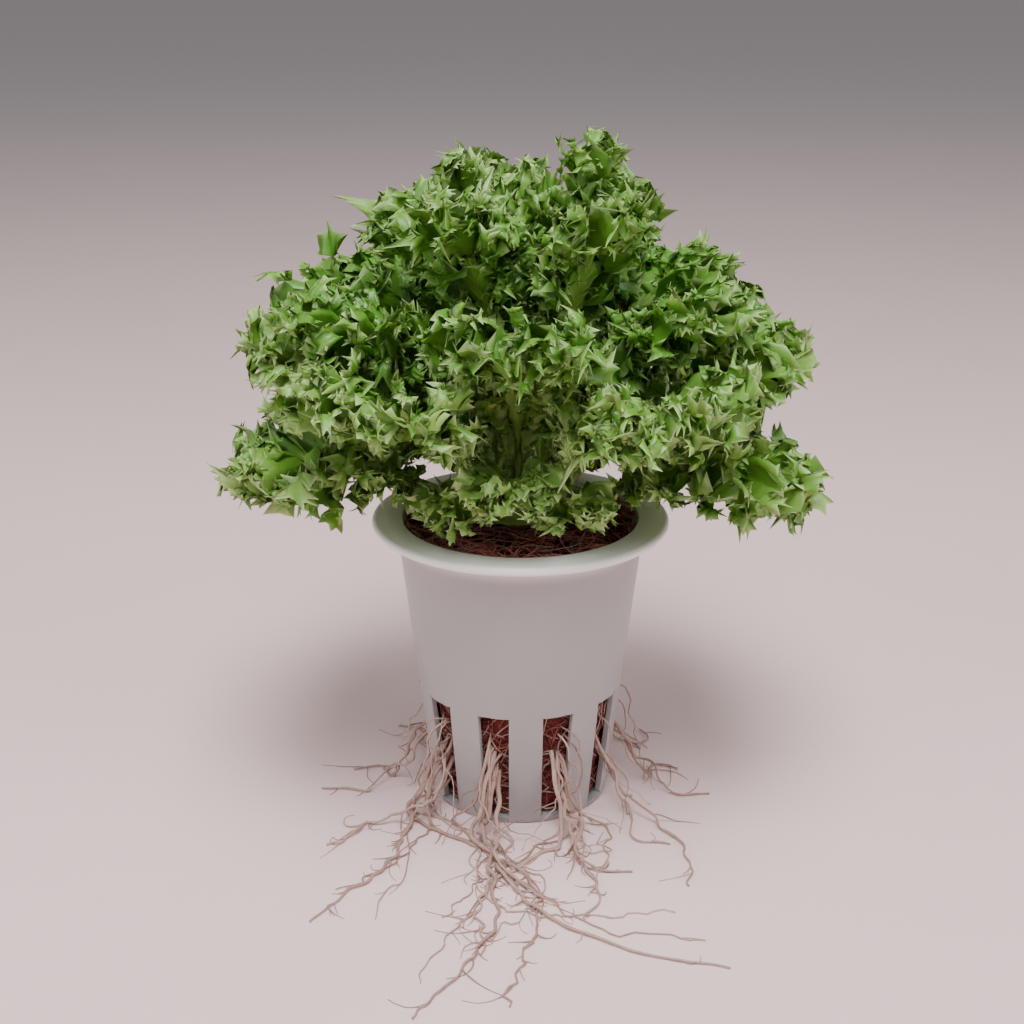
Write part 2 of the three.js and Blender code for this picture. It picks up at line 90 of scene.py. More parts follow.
# The tiers of leaves, from the rim upwards. COMMON is what a tier has where it says nothing else.
#   leaves: the direction and length of each, in degrees with 0 to the front and 90 to the right
#   root: the radius and height of a leaf's base
#   rise, fall, bend: the midrib's slope at the base and at the tip in degrees, and how late it changes
#   width, wedge: the blade's breadth, and the half angle about the axis that it keeps to
#   wave, cup: how far the frilled margin swings, and the radius that the blade is bent to across
#   teeth, deep, rib: the lobes round the margin, how deep it's cut between them, and the share of the
#     length at which the last vein leaves the midrib
#   tone: the green, from 0 for old leaves to 1 for the youngest, with painted light and shade in it: the
#     short leaves are set lighter as painted light, and the middle leaves darker as painted shade
#   small, inner: how full of small lobes the frill is, and their share on each row
#   lean: how far the small lobes lean to the blade's upper side, or below 0 to its lower side
COMMON = dict(rib=0.76, deep=1.5, small=1, inner=OUTER_ROWS, lean=0)
TIERS = (
    # The short leaves' tone is set high: painted light on them.
    dict(COMMON, name="short_leaf", leaves=((-37, 19), (27, 19)),
         root=(10.8, 63.2), rise=54, fall=-34, bend=1.2, width=17, wedge=27, wave=2.4, cup=40,
         teeth=16, tone=0.6, small=0.32),
    dict(COMMON, name="front_leaf", leaves=((-6, 28),),
         root=(10.2, 65.4), rise=57, fall=-32, bend=1.3, width=21, wedge=23, wave=2.4, cup=60,
         teeth=20, tone=0.44, small=0.45),
    dict(COMMON, name="outer_leaf", leaves=((-77, 50), (76, 50), (-127, 52), (127, 52), (180, 52)),
         root=(10.2, 63.4), rise=32, fall=-20, bend=1.2, width=44, wedge=25.5, wave=4.6, cup=150,
         teeth=28, deep=2.1, tone=0.38, small=0.75, lean=0.3),
    dict(COMMON, name="lower_leaf",
         leaves=((-39, 54), (36, 53), (-97, 54), (95, 55), (-152, 54), (151, 54)),
         root=(9.4, 67.4), rise=54, fall=-6, bend=1.4, width=46, wedge=28.5, wave=4.6, cup=80,
         teeth=28, tone=0.38, lean=0.5),
    # The middle leaves' tone is set low: painted shade in the head's centre.
    dict(COMMON, name="middle_leaf",
         leaves=((-3, 56), (-62, 58), (59, 57), (-122, 56), (119, 56), (179, 56)),
         root=(7.6, 69.8), rise=70, fall=0, bend=1.5, width=42, wedge=30, wave=4.4, cup=60,
         teeth=28, tone=0.15, inner=INNER_ROWS, lean=-0.3),
    dict(COMMON, name="upper_leaf", leaves=((-30, 59), (36, 60), (111, 57), (182, 58), (-108, 57)),
         root=(5.3, 72), rise=82, fall=42, bend=1.5, width=35, wedge=36, wave=3.6, cup=40,
         teeth=24, tone=0.22),
    dict(COMMON, name="heart_leaf", leaves=((-58, 61), (64, 64), (186, 56)),
         root=(2.6, 73.6), rise=88, fall=60, bend=1.4, width=26, wedge=58, wave=2.6, cup=40,
         rib=0.86, teeth=24, tone=0.36),
)
SEED = 7
SPINE_STEPS = 40
PETIOLE_STEPS = 40
OUTLINE_STEPS = 120
PETIOLE_SHARE = 0.26
PETIOLE_HALF_WIDTH = 2.6
BLADE_SKEW = 0.8
WEDGE_GAP = 0.4
CUT_AT_PETIOLE = 0.35
CUT_AT_TIP = 0.24
TOOTH_REACH = 0.26
TIP_SWING = 1.3
POINTS_PER_LOBE = 6  # pointed teeth on each lobe of the margin
STEPS_PER_POINT = 2  # columns of the mesh across each of those teeth
BLADE_ROWS = (0, 0.16, 0.32, 0.49, 0.66, 0.81, 0.93, 1)
BACKED_ROWS = 3  # rows from the midrib outwards that have a back face of their own
FRILL_SHARE = 0.88  # share of the solid's reach that the blade keeps, for its frill to make up

# The frill's own small lobes, shaped like holly leaves: their number of points, their half breadth for
# their length and their share of all the lobes.
FRILLS = ((5, 0.17, 0.35), (7, 0.2, 0.4), (9, 0.24, 0.25))
FRILL_RINGS = (0, 0.36, 0.68, 0.91, 1)
FRILL_STEPS = 3  # columns of the mesh across each point of a small lobe
FRILL_TURN = 132  # degrees round a small lobe's middle from its tip to its neck
FRILL_WAVE = 4.6  # swing of a margin whose small lobes have their full length
NECK_HALF_WIDTH = 1.7

# ---- The roots, in millimetres ----

# Each root is (direction of its tip in degrees, distance of its tip from the axis, sideways bow). The
# roots of one slot are together, in order round the cup from the slot just right of the front.
ROOTS = (
    ((-7, 62, 7), (13, 54, -3), (30, 43, 5)),
    ((48, 40, 4), (38, 52, -5)),
    ((95, 34, -4), (80, 40, 4)),
    ((126, 36, 4), (138, 33, -3)),
    ((170, 38, 4), (158, 31, -4)),
    ((-166, 36, -4), (-156, 31, 4)),
    ((-130, 35, 4), (-142, 31, -3)),
    ((-95, 36, 4), (-84, 42, -4)),
    ((-2, 77, -16), (-36, 66, -3), (-54, 47, 4)),
    ((29, 77, 10), (-13, 83, -8), (8, 49, 3)),
)
FRONT_SLOTS = (0, 8, 9)
ROOT_RADIUS = 0.75
ROOT_TIP_RADIUS = 0.42
ROOT_POINTS = 64
LOOSE_POINTS = 52
HANGING_POINTS = 20

# ---- The stage, in metres ----

FLOOR_REACH = 12
LIGHT_TARGET = (0, 0, 0.06)
SKY_COLOUR = (0.98, 0.98, 1, 1)


# ---- Plain maths ----


def mix(a, b, share):
    """The value a share of the way from a to b."""
    return a + (b - a) * share


def smooth(x, low, high):
    """0 below low, 1 above high and an even curve between them."""
    t = np.clip((x - low) / (high - low), 0, 1)
    return t * t * (3 - 2 * t)


def chance(a, b):
    """The same number between 0 and 1 every time for a given pair of keys."""
    s = np.sin(a * 12.9898 + b * 78.233 + SEED) * 43758.5453
    return s - np.floor(s)


def polar(direction, distance, height):
    """A point at a direction in degrees, a distance from the axis and a height."""
    a = np.radians(direction)
    return np.stack(np.broadcast_arrays(distance * np.sin(a), -distance * np.cos(a), height), -1)


def unit(vectors):
    """The vectors with a length of 1."""
    return vectors / np.maximum(np.linalg.norm(vectors, axis=-1, keepdims=True), 1e-9)


# ---- Meshes ----


def mesh_piece(name, vertices, faces, material, numbers=None):
    """An object from vertices in millimetres and faces, with a named number for each vertex."""
    mesh = bpy.data.meshes.new(name)
    mesh.from_pydata((np.asarray(vertices) * MM).tolist(), [], [list(map(int, f)) for f in faces])
    mesh.shade_smooth()
    for key, values in (numbers or {}).items():
        mesh.attributes.new(key, "FLOAT", "POINT").data.foreach_set("value", values.astype(np.float32))
    mesh.materials.append(material)
    piece = bpy.data.objects.new(name, mesh)
    bpy.context.scene.collection.objects.link(piece)
    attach(piece, "root")
    return piece


def grid_faces(numbers):
    """The faces with four corners between the neighbours in a grid of vertex numbers."""
    corners = (numbers[..., :-1, :-1], numbers[..., :-1, 1:], numbers[..., 1:, 1:], numbers[..., 1:, :-1])
    return np.stack(corners, -1)


def ring_grid(rings, columns, first=0):
    """The vertex numbers of rings of vertices, with the first of each ring again at its end."""
    numbers = first + np.arange(rings * columns).reshape(rings, columns)
    return np.concatenate((numbers, numbers[:, :1]), 1)


def caps(grid):
    """The two faces that close the ends of a ring grid."""
    return [grid[0, -2::-1].tolist(), grid[-1, :-1].tolist()]


class Tubes:
    """Many thin round strands gathered in one mesh."""

    def __init__(self, sides):
        self.sides = sides
        self.vertices = []
        self.faces = []
        self.shades = []
        self.count = 0

    def add(self, line, radii, shade):
        """Adds a closed strand along a line of points, with a radius for each of them."""
        along = unit(np.gradient(line, axis=0))
        across = np.array((0.31, 0.17, 0.93))
        turn = np.arange(self.sides)[:, None] * 2 * math.pi / self.sides
        rings = []
        for point, way, radius in zip(line, along, radii):
            across = unit(across - way * across.dot(way))
            rings.append(point + radius * (across * np.cos(turn) + np.cross(way, across) * np.sin(turn)))
        grid = ring_grid(len(line), self.sides, self.count)
        self.faces += grid_faces(grid).reshape(-1, 4).tolist() + caps(grid)
        self.vertices += rings
        self.shades.append(np.full(grid[:, :-1].size, shade))
        self.count += grid[:, :-1].size

    def piece(self, name, material):
        """All the strands as one object."""
        shades = {"shade": np.concatenate(self.shades)}
        return mesh_piece(name, np.concatenate(self.vertices), self.faces, material, shades)


# ---- Materials ----


class Value:
    """A shader socket that can stand in a Python expression."""

    def __init__(self, shader, socket):
        self.shader = shader
        self.socket = socket

    def math(self, operation, first, second):
        """The result of a Math node."""
        return self.shader.node("Math", {"operation": operation}, {0: first, 1: second})

    def __add__(self, other):
        return self.math("ADD", self, other)

    def __sub__(self, other):
        return self.math("SUBTRACT", self, other)

    def __rsub__(self, other):
        return self.math("SUBTRACT", other, self)

    def __mul__(self, other):
        return self.math("MULTIPLY", self, other)

    __radd__ = __add__
    __rmul__ = __mul__


class Shader:
    """A material's nodes, written as Python expressions."""

    def __init__(self, name, **constants):
        self.material = bpy.data.materials.new(name)
        self.material.use_nodes = True
        self.tree = self.material.node_tree
        self.principled = self.tree.nodes["Principled BSDF"]
        for socket, value in constants.items():
            self.principled.inputs[socket.replace("_", " ")].default_value = value

    def node(self, kind, settings, values, output=0):
        """Adds a node, with its settings first and then the values or links of its sockets."""
        made = self.tree.nodes.new("ShaderNode" + kind)
        for setting, value in settings.items():
            if setting == "stops":
                self.set_stops(made.color_ramp, value)
            else:
                setattr(made, setting, value)
        for socket, value in values.items():
            self.feed(made.inputs[socket], value)
        return Value(self, made.outputs[output])

    def feed(self, target, value):
        """Links a value to a socket, or sets it there."""
        if isinstance(value, Value):
            self.tree.links.new(value.socket, target)
        elif target.type == "RGBA":
            target.default_value = (*value, 1)
        else:
            target.default_value = value

    @staticmethod
    def set_stops(ramp, stops):
        """Gives a colour ramp its stops of (position, colour)."""
        while len(ramp.elements) < len(stops):
            ramp.elements.new(0.5)
        for element, (position, colour) in zip(ramp.elements, stops):
            element.position = position
            element.color = (*colour, 1)

    def number(self, name):
        """A number that the mesh holds at each vertex."""
        return self.node("Attribute", {"attribute_name": name}, {}, "Fac")

    def place(self):
        """The place in the object, in metres."""
        return self.node("TexCoord", {}, {}, "Object")

    def noise(self, place, size, detail=3.0, roughness=0.5):
        """Soft noise from 0 to 1 with spots of a size in millimetres."""
        values = {"Vector": place, "Scale": 1 / (size * MM), "Detail": detail, "Roughness": roughness}
        return self.node("TexNoise", {}, values)

    def ramp(self, value, *stops):
        """A colour for each value between the stops."""
        return self.node("ValToRGB", {"stops": stops}, {0: value})

    def step(self, value, low, high):
        """0 below low, 1 above high and an even curve between them."""
        return self.node("MapRange", {"interpolation_type": "SMOOTHSTEP"}, {0: value, 1: low, 2: high})

    def along(self, place, axis):
        """One axis of a place, in metres."""
        return self.node("SeparateXYZ", {}, {0: place}, axis)

    def blend(self, share, first, second):
        """A colour a share of the way from the first to the second."""
        return self.node("Mix", {"data_type": "RGBA"}, {0: share, 6: first, 7: second}, 2)

    def finish(self, colour, roughness=None, relief=None, depth=0.1):
        """Feeds the shader its colour, its roughness and a relief with a depth in millimetres."""
        self.feed(self.principled.inputs["Base Color"], colour)
        if roughness is not None:
            self.feed(self.principled.inputs["Roughness"], roughness)
        if relief is not None:
            bump = self.node("Bump", {}, {"Strength": 1.0, "Distance": depth * MM, "Height": relief})
            self.feed(self.principled.inputs["Normal"], bump)
        return self.material


def leaf_material(colours):
    """Fresh leaf: deep green, with pale fans of veins, paler frilled edges that carry a painted highlight,
    painted shade deeper in the blade and the small lobes, and a soft sheen.
    """
    shader = Shader("endive_leaf", Specular_IOR_Level=0.5, Subsurface_Weight=0.35,
                    Subsurface_Scale=1.0, Subsurface_Radius=(0.0008, 0.0012, 0.0003))
    place = shader.place()
    broad = shader.noise(place, 14)
    fine = shader.noise(place, 1.6, detail=4)
    tone = shader.number("tone") + 0.5 * (broad - 0.5) + 0.3 * (fine - 0.5)
    green = shader.ramp(tone, (0.1, colours.deep_green), (0.5, colours.fresh_green),
                        (1, colours.young_green))
    veined = shader.blend(shader.number("vein"), green, colours.pale_vein)
    # Edges blend towards the pale edge colour: partly the frill's own pale margin, partly a painted
    # highlight.
    edged = shader.blend(shader.number("edge") * 0.95, veined, colours.pale_edge_and_highlight)
    relief = fine * 0.5 + shader.number("vein") * 1.5
    return shader.finish(edged, 0.34 + 0.2 * fine, relief, 0.25)


def cup_material(colours):
    """Smooth white moulded plastic; below the flange the wall is painted much greyer, partly for the dark
    coir behind its thin wall and partly as painted shade under the leaves.
    """
    shader = Shader("cup_plastic", Roughness=0.35, Specular_IOR_Level=0.5, Subsurface_Weight=0.15,
                    Subsurface_Radius=(0.002, 0.002, 0.002), Subsurface_Scale=1.0)
    place = shader.place()
    broad = shader.noise(place, 22)
    grain = shader.noise(place, 0.6, detail=2)
    height = shader.along(place, "Z")
    # The flange keeps the plastic's white; the wall below it gets painted shade, with a faint mottle.
    flange = shader.step(height, 0.055, 0.0595)
    wall = shader.blend(shader.step(broad, 0.35, 0.7) * 0.5, colours.shaded_cup_wall, colours.shaded_cup_mottle)
    colour = shader.blend(flange, wall, colours.cup_white)
    return shader.finish(colour, 0.3 + 0.12 * broad, grain, 0.02)


def coir_material(colours):
    """Dark red-brown coconut fibre and dust."""
    shader = Shader("coir_dust", Roughness=0.95, Specular_IOR_Level=0.2)
    place = shader.place()
    grain = shader.noise(place, 1.1, detail=5, roughness=0.7)
    colour = shader.ramp(grain, (0.3, colours.coir_dark), (0.6, colours.coir_brown),
                         (0.85, colours.coir_fibre))
    return shader.finish(colour, None, grain, 0.9)


def strand_material(name, dark, pale, rough):
    """Thin strands whose shade differs from one to the next."""
    shader = Shader(name, Roughness=rough, Specular_IOR_Level=0.3)
    place = shader.place()
    grain = shader.noise(place, 1.8, detail=3)
    mixed = shader.number("shade") * 0.75 + shader.step(grain, 0.3, 0.7) * 0.25
    return shader.finish(shader.blend(mixed, dark, pale), None, grain, 0.08)


def crown_material(colours):
    """Smooth pale green stem with faint streaks up it."""
    shader = Shader("crown_stem", Roughness=0.5)
    place = shader.place()
    streaks = shader.noise(place, 2.5, detail=3)
    colour = shader.blend(shader.step(streaks, 0.3, 0.7), colours.pale_vein, colours.young_green)
    return shader.finish(colour, 0.45 + 0.2 * streaks, streaks, 0.15)


def floor_material(colours):
    """A plain pale floor with a faint mottle."""
    shader = Shader("pale_floor", Specular_IOR_Level=0.2)
    place = shader.place()
    mottle = shader.noise(place, 120, detail=4)
    far = shader.step(shader.along(place, "Y"), 0.3, 1.7)
    near = shader.blend(shader.step(mottle, 0.3, 0.7) * 0.5, colours.floor, colours.floor_shade)
    colour = shader.blend(far, near, colours.floor_far)
    return shader.finish(colour, 0.75 + 0.1 * mottle)


# ---- Net cup ----


def cup_radius(height):
    """The outer radius of the cup's wall at a height."""
    return mix(BASE_RADIUS, BODY_TOP_RADIUS, height / (CUP_HIGH[2] - FLANGE_THICKNESS))


def slot_half_angle(height):
    """Half the angle that a slot takes at a height, in degrees."""
    z = np.clip(height, BASE_THICKNESS, SLOT_TOP)
    share = (z - BASE_THICKNESS) / (SLOT_TOP - BASE_THICKNESS)
    half_width = mix(SLOT_WIDTH_BOTTOM, SLOT_WIDTH_TOP, share) / 2
    return math.degrees(half_width / cup_radius(z))


def slot_direction(slot):
    """The direction of a slot's middle, in degrees."""
    return CUP_TURN + 360 * (slot + 0.5) / SLOTS


def cup_profile():
    """The cup's section as (radius, height) points: up the outside, round the flange, down the inside."""
    top = CUP_HIGH[2]
    under = top - FLANGE_THICKNESS
    round_lip = FLANGE_THICKNESS / 2
    inner = BODY_TOP_RADIUS - WALL
    slot_rows = np.linspace(BASE_THICKNESS, SLOT_TOP, SLOT_ROWS)
    base = [(CAP_RADIUS, 0), (10, 0), (BASE_RADIUS - 0.6, 0)]
    base += [(BASE_RADIUS - 0.18, 0.18), (BASE_RADIUS, 0.6)]
    outside = [(cup_radius(z), z) for z in slot_rows]
    outside += [(cup_radius(z), z) for z in np.linspace(SLOT_TOP, under - FILLET, 8)[1:]]
    fillet = [(cup_radius(under) + 0.1, under - 0.5), (cup_radius(under) + 0.7, under)]
    lip = [polar(angle, round_lip, 0)[:2] for angle in np.linspace(0, 180, 9)]
    lip = [(CUP_HIGH[0] - round_lip + x, top - round_lip + y) for x, y in lip]
    rim = [(27, top), (inner + 0.6, top), (inner + 0.15, top - 0.2), (inner, top - 0.8)]
    inside = [(cup_radius(z) - WALL, z) for z in np.linspace(under - FILLET, SLOT_TOP, 6)[:-1]]
    inside += [(cup_radius(z) - WALL, z) for z in slot_rows[::-1]]
    floor = [(10, BASE_THICKNESS), (CAP_RADIUS, BASE_THICKNESS)]
    return base + outside + fillet + lip + rim + inside + floor


def cup_columns(height):
    """The directions of the mesh's columns at a height: each slot's columns and then its rib's."""
    half = slot_half_angle(height)
    across_slot = np.linspace(-half, half, SLOT_COLUMNS + 1)[:-1]
    across_rib = np.linspace(half, 360 / SLOTS - half, RIB_COLUMNS + 1)[:-1]
    centres = slot_direction(np.arange(SLOTS))[:, None]
    return (centres + np.concatenate((across_slot, across_rib))).ravel()


def build_cup(material):
    """The cup, with its slots left open between its ribs."""
    profile = cup_profile()
    rings = [polar(cup_columns(z), r, z) for r, z in profile]
    count = len(rings[0])
    grid = ring_grid(len(rings), count)
    in_slot = np.arange(count) % (SLOT_COLUMNS + RIB_COLUMNS) < SLOT_COLUMNS
    bottoms = [i for i, (r, z) in enumerate(profile) if z == BASE_THICKNESS and r > BASE_RADIUS - WALL]
    tops = [i for i, (_, z) in enumerate(profile) if z == SLOT_TOP]
    out_low, in_low = bottoms[0], bottoms[-1]
    out_high, in_high = tops[0], tops[-1]
    row = np.arange(len(rings) - 1)
    open_row = (out_low <= row) & (row < out_high) | (in_high <= row) & (row < in_low)
    faces = grid_faces(grid)[~(open_row[:, None] & in_slot)].tolist()
    for k in range(count):
        if in_slot[k]:
            faces.append((grid[out_low, k + 1], grid[out_low, k], grid[in_low, k], grid[in_low, k + 1]))
            faces.append((grid[out_high, k], grid[out_high, k + 1], grid[in_high, k + 1], grid[in_high, k]))
        if in_slot[k] != in_slot[k - 1]:
            for i, j in zip(range(out_low, out_high), range(in_low, in_high, -1)):
                a, b, c, d = grid[i, k], grid[i + 1, k], grid[j - 1, k], grid[j, k]
                faces.append((a, b, c, d) if in_slot[k - 1] else (b, a, d, c))
    piece = mesh_piece("cup_body", np.concatenate(rings), faces + caps(grid), material)
    round_edges(piece, EDGE_ROUNDING)
    return piece


def round_edges(piece, width):
    """Rounds the sharp edges of a piece."""
    bevel = piece.modifiers.new("rounded", "BEVEL")
    bevel.width = width * MM
    bevel.segments = 2
    bevel.limit_method = "ANGLE"
    bevel.angle_limit = math.radians(50)
    bevel.harden_normals = True


# ---- Coir ----


def coir_top(distance, turn):
    """The height of the coir's top: a low dome with lumps."""
    share = distance / BODY_TOP_RADIUS
    lumps = np.sin(3 * turn + 0.7) * np.cos(7 * share + 1.1) + 0.6 * np.sin(7 * turn + 9 * share)
    return COIR_TOP + 1.4 * (1 - share * share) + 0.8 * lumps * share


def rough_waves(rng, size, count=10):
    """A function of points that waves roughly at a size in millimetres."""
    ways = rng.normal(size=(count, 3)) * 2 * math.pi / size
    phases = rng.uniform(0, 2 * math.pi, count)
    return lambda points: np.sin(points @ ways.T + phases).sum(-1) / math.sqrt(count)


def build_coir(material):
    """The coir plug, with a rough top and rough sides behind the slots."""
    rng = np.random.default_rng(SEED)
    turn = np.linspace(0, 2 * math.pi, COIR_COLUMNS + 1)[:-1]
    foot = BASE_THICKNESS + COIR_GAP
    edge = COIR_TOP - 1.6
    side = [(CAP_RADIUS, foot), (11, foot)]
    for z in np.linspace(foot, edge, COIR_SIDE_ROWS):
        side.append((cup_radius(z) - WALL - COIR_GAP - COIR_SLACK, z))
    rim = side[-1][0]
    top = [(rim * share, coir_top(rim * share, turn)) for share in COIR_TOP_SHARES]
    rows = [np.stack((r * np.cos(turn), r * np.sin(turn), z + 0 * turn), -1) for r, z in side + top]
    points = np.array(rows)
    push = 0.35 * rough_waves(rng, 5)(points) + 0.25 * rough_waves(rng, 1.8)(points)
    on_side = (np.arange(len(rows)) < len(side))[:, None]
    moved = points - unit(points * (1, 1, 0)) * (np.abs(push) * on_side)[..., None]
    moved[..., 2] += np.where(on_side, 0, 1.2 * push)
    grid = ring_grid(*moved.shape[:2])
    faces = grid_faces(grid).reshape(-1, 4).tolist() + caps(grid)
    return mesh_piece("coir_body", moved.reshape(-1, 3), faces, material)


def arc_line(rng, start, heading, length, curl, steps):
    """A wandering line on a plane, as points (x, y)."""
    turns = curl + rng.normal(0, abs(curl) * 0.5 + 0.02, steps)
    headings = heading + np.cumsum(turns)
    moves = np.stack((np.cos(headings), np.sin(headings)), -1) * length / steps
    return start + np.concatenate((np.zeros((1, 2)), np.cumsum(moves, 0)))


def top_fibres(strands, rng, count, radius, length, lift):
    """Loose fibres that lie over the coir's top in curls."""
    for _ in range(count):
        at = 23 * math.sqrt(rng.uniform(0.1, 1))
        turn = rng.uniform(0, 2 * math.pi)
        start = np.array((at * math.cos(turn), at * math.sin(turn)))
        heading = rng.uniform(0, 2 * math.pi)
        line = arc_line(rng, start, heading, rng.uniform(*length), rng.normal(0, 0.3), 9)
        distance = np.hypot(*line.T)
        line *= np.minimum(1, FIBRE_REACH / np.maximum(distance, 1e-6))[:, None]
        distance = np.minimum(distance, FIBRE_REACH)
        arch = np.sin(np.linspace(0, math.pi, len(line))) * rng.uniform(0, lift)
        z = coir_top(distance, np.arctan2(line[:, 1], line[:, 0])) + 0.3 + arch
        z = np.where(distance > 21, np.maximum(z, COIR_TOP - 1), z)
        radii = np.linspace(radius, radius * 0.5, len(line))
        # Fibres on the top are painted lighter, as painted light against the leaves' shade over them.
        strands.add(np.column_stack((line, z)), radii, rng.uniform(0.4, 1))


def side_fibres(strands, rng, count, radius, length, height):
    """Fibres that lie against the cup's inside and show through its slots."""
    for _ in range(count):
        z = rng.uniform(2.5, height)
        direction = rng.uniform(-180, 180)
        heading = rng.uniform(0, 2 * math.pi)
        line = arc_line(rng, np.zeros(2), heading, rng.uniform(*length), rng.normal(0, 0.26), 8)
        heights = np.clip(z + line[:, 1], 2.2, height + 4)
        distances = cup_radius(heights) - WALL - rng.uniform(0.15, 0.9)
        turns = direction + np.degrees(line[:, 0] / distances)
        # Fibres behind the slots are painted darker, as painted shade against the light that falls in at
        # the slots.
        strands.add(polar(turns, distances, heights), np.full(len(line), radius), rng.uniform(0, 0.6))


# ---- Leaves ----


def sheet_frame(points):
    """The directions outwards, along the margin and off the face, at each point of a blade's rows."""
    outwards = unit(np.gradient(points, axis=0))
    along = np.gradient(points, axis=1)
    normal = unit(np.cross(along, outwards))
    return outwards, np.cross(outwards, normal), normal


class Leaf:
    """The fine form of one leaf, from the same rule as its solid."""

    def __init__(self, tier, t, k):
        self.tier = tier
        self.key = 100 * t + 10 * k
        self.name = "{}_{}".format(tier["name"], k + 1)
        self.tone = tier["tone"] + 0.1 * (chance(self.key, 9) - 0.5)
        self.direction, self.length = tier["leaves"][k]
        self.rise = tier["rise"] + 4 * (chance(self.key, 1) - 0.5)
        self.fall = tier["fall"] + 8 * (chance(self.key, 2) - 0.5)
        self.width = tier["width"] * (0.95 + 0.1 * chance(self.key, 4))
        self.rng = np.random.default_rng(1000 + self.key)
        self.set_midrib()
        self.set_outline()

    def set_midrib(self):
        """The midrib's points and frames, in the upright plane of the leaf's direction."""
        share = np.arange(SPINE_STEPS + 1) / SPINE_STEPS
        slope = np.radians(mix(self.rise, self.fall, share ** self.tier["bend"]))[:, None]
        self.outward = polar(self.direction, 1, 0)
        upright = np.array((0, 0, 1.0))
        self.across = np.cross(self.outward, upright)
        self.along = self.outward * np.cos(slope) + upright * np.sin(slope)
        self.up = -self.outward * np.sin(slope) + upright * np.cos(slope)
        root = polar(self.direction, *self.tier["root"])
        steps = np.cumsum(self.along[:-1], 0) * self.length / SPINE_STEPS
        self.spine = root + np.concatenate((np.zeros((1, 3)), steps))

    def rib_at(self, y):
        """The midrib's point and up direction at distances along the leaf."""
        at = np.clip(y / self.length * SPINE_STEPS, 0, SPINE_STEPS - 1e-6)
        i = np.floor(at).astype(int)
        past = (at - i)[..., None]
        point = mix(self.spine[i], self.spine[i + 1], past)
        point = point + self.along[i] * np.maximum(0, y - self.length)[..., None]
        return point, unit(mix(self.up[i], self.up[i + 1], past))

    def kept_width(self, width, y):
        """The half width drawn in where the leaf would leave its own wedge about the axis."""
        tier = self.tier
        point, up = self.rib_at(y)
        frill = 0.5 * tier["wave"] + (0.5 * width * width) / (2 * tier["cup"])
        distance = point @ self.outward + np.minimum(0, up @ self.outward) * frill
        room = distance * math.tan(math.radians(tier["wedge"])) - WEDGE_GAP
        room = np.maximum(1, room) / (1 + TOOTH_REACH)
        return width / (1 + (width / room) ** 4) ** 0.25

    def set_outline(self):
        """One side of the outline as half widths and distances along, by the run round the margin."""
        petiole = PETIOLE_SHARE * self.length * np.arange(PETIOLE_STEPS + 1) / PETIOLE_STEPS
        step = np.arange(1, OUTLINE_STEPS + 1)
        turn = -math.pi / 2 + math.pi * step / OUTLINE_STEPS
        bulge = self.width / 2 * np.clip(np.cos(turn), 0, 1) ** 0.8
        least = np.where(step < OUTLINE_STEPS / 2, PETIOLE_HALF_WIDTH, 0)
        reach = PETIOLE_SHARE + (1 - PETIOLE_SHARE) * (0.5 + 0.5 * np.sin(turn)) ** BLADE_SKEW
        widths = np.concatenate((np.full_like(petiole, PETIOLE_HALF_WIDTH), np.maximum(bulge, least)))
        self.line_y = np.concatenate((petiole, self.length * reach))
        self.line_x = self.kept_width(widths, self.line_y)
        run = np.hypot(np.diff(self.line_x), np.diff(self.line_y))
        self.run = np.concatenate(([0], np.cumsum(run)))

    def margin(self, share):
        """Half width, distance along, and the distance along where the vein leaves the midrib."""
        total = self.run[-1]
        width = np.interp(share * total, self.run, self.line_x)
        along = np.interp(share * total, self.run, self.line_y)
        petiole = PETIOLE_SHARE * self.length / total
        fan = np.maximum(0, share - petiole) / (1 - petiole)
        vein = np.where(fan > 0, self.length * mix(PETIOLE_SHARE, self.tier["rib"], fan), along)
        return width, along, vein

    def lobes(self, q):
        """Swing of the frill, how far the margin is cut in, and the reach and swing of the lobes' tips."""
        teeth = self.tier["teeth"]
        even = np.arange(0, 2 * teeth + 1, 2)
        share = np.minimum(even, 2 * teeth - even) / teeth
        sign = np.where((even // 2) % 2, 1, -1)
        swings = sign * (0.75 + 0.5 * chance(self.key + even, 7))
        cuts = self.tier["deep"] * mix(CUT_AT_PETIOLE, CUT_AT_TIP, smooth(share, 0.1, 0.7))
        cuts = cuts * (0.6 + 0.4 * chance(self.key + even, 8))
        lobe = np.clip(np.floor(q / 2).astype(int), 0, teeth - 1)
        past = q / 2 - lobe
        ease = 0.5 - 0.5 * np.cos(math.pi * past)
        odd = 2 * lobe + 1
        swing = mix(swings[lobe], swings[lobe + 1], ease)
        cut = mix(cuts[lobe], cuts[lobe + 1], ease)
        tip_reach = 1 + TOOTH_REACH * chance(self.key + odd, 5)
        tip_swing = TIP_SWING * 2 * (chance(self.key + odd, 6) - 0.5)
        return swing, cut, tip_reach, tip_swing, past

    def sheet(self, frill):
        """The blade's middle surface as rows of points, and the numbers that its finish needs."""
        tier = self.tier
        rng = self.rng
        per_column = POINTS_PER_LOBE * STEPS_PER_POINT // 2
        q = np.arange(2 * tier["teeth"] * per_column + 1) / per_column
        side = np.where(q <= tier["teeth"], -1.0, 1.0)
        share = np.minimum(q, 2 * tier["teeth"] - q) / tier["teeth"]
        width, along, vein = self.margin(share)
        swing, cut, tip_reach, tip_swing, past = self.lobes(q)
        strength = mix(0.3, 1, smooth(share, 0.15, 0.55))
        bulge = np.sin(math.pi * past) ** 0.8

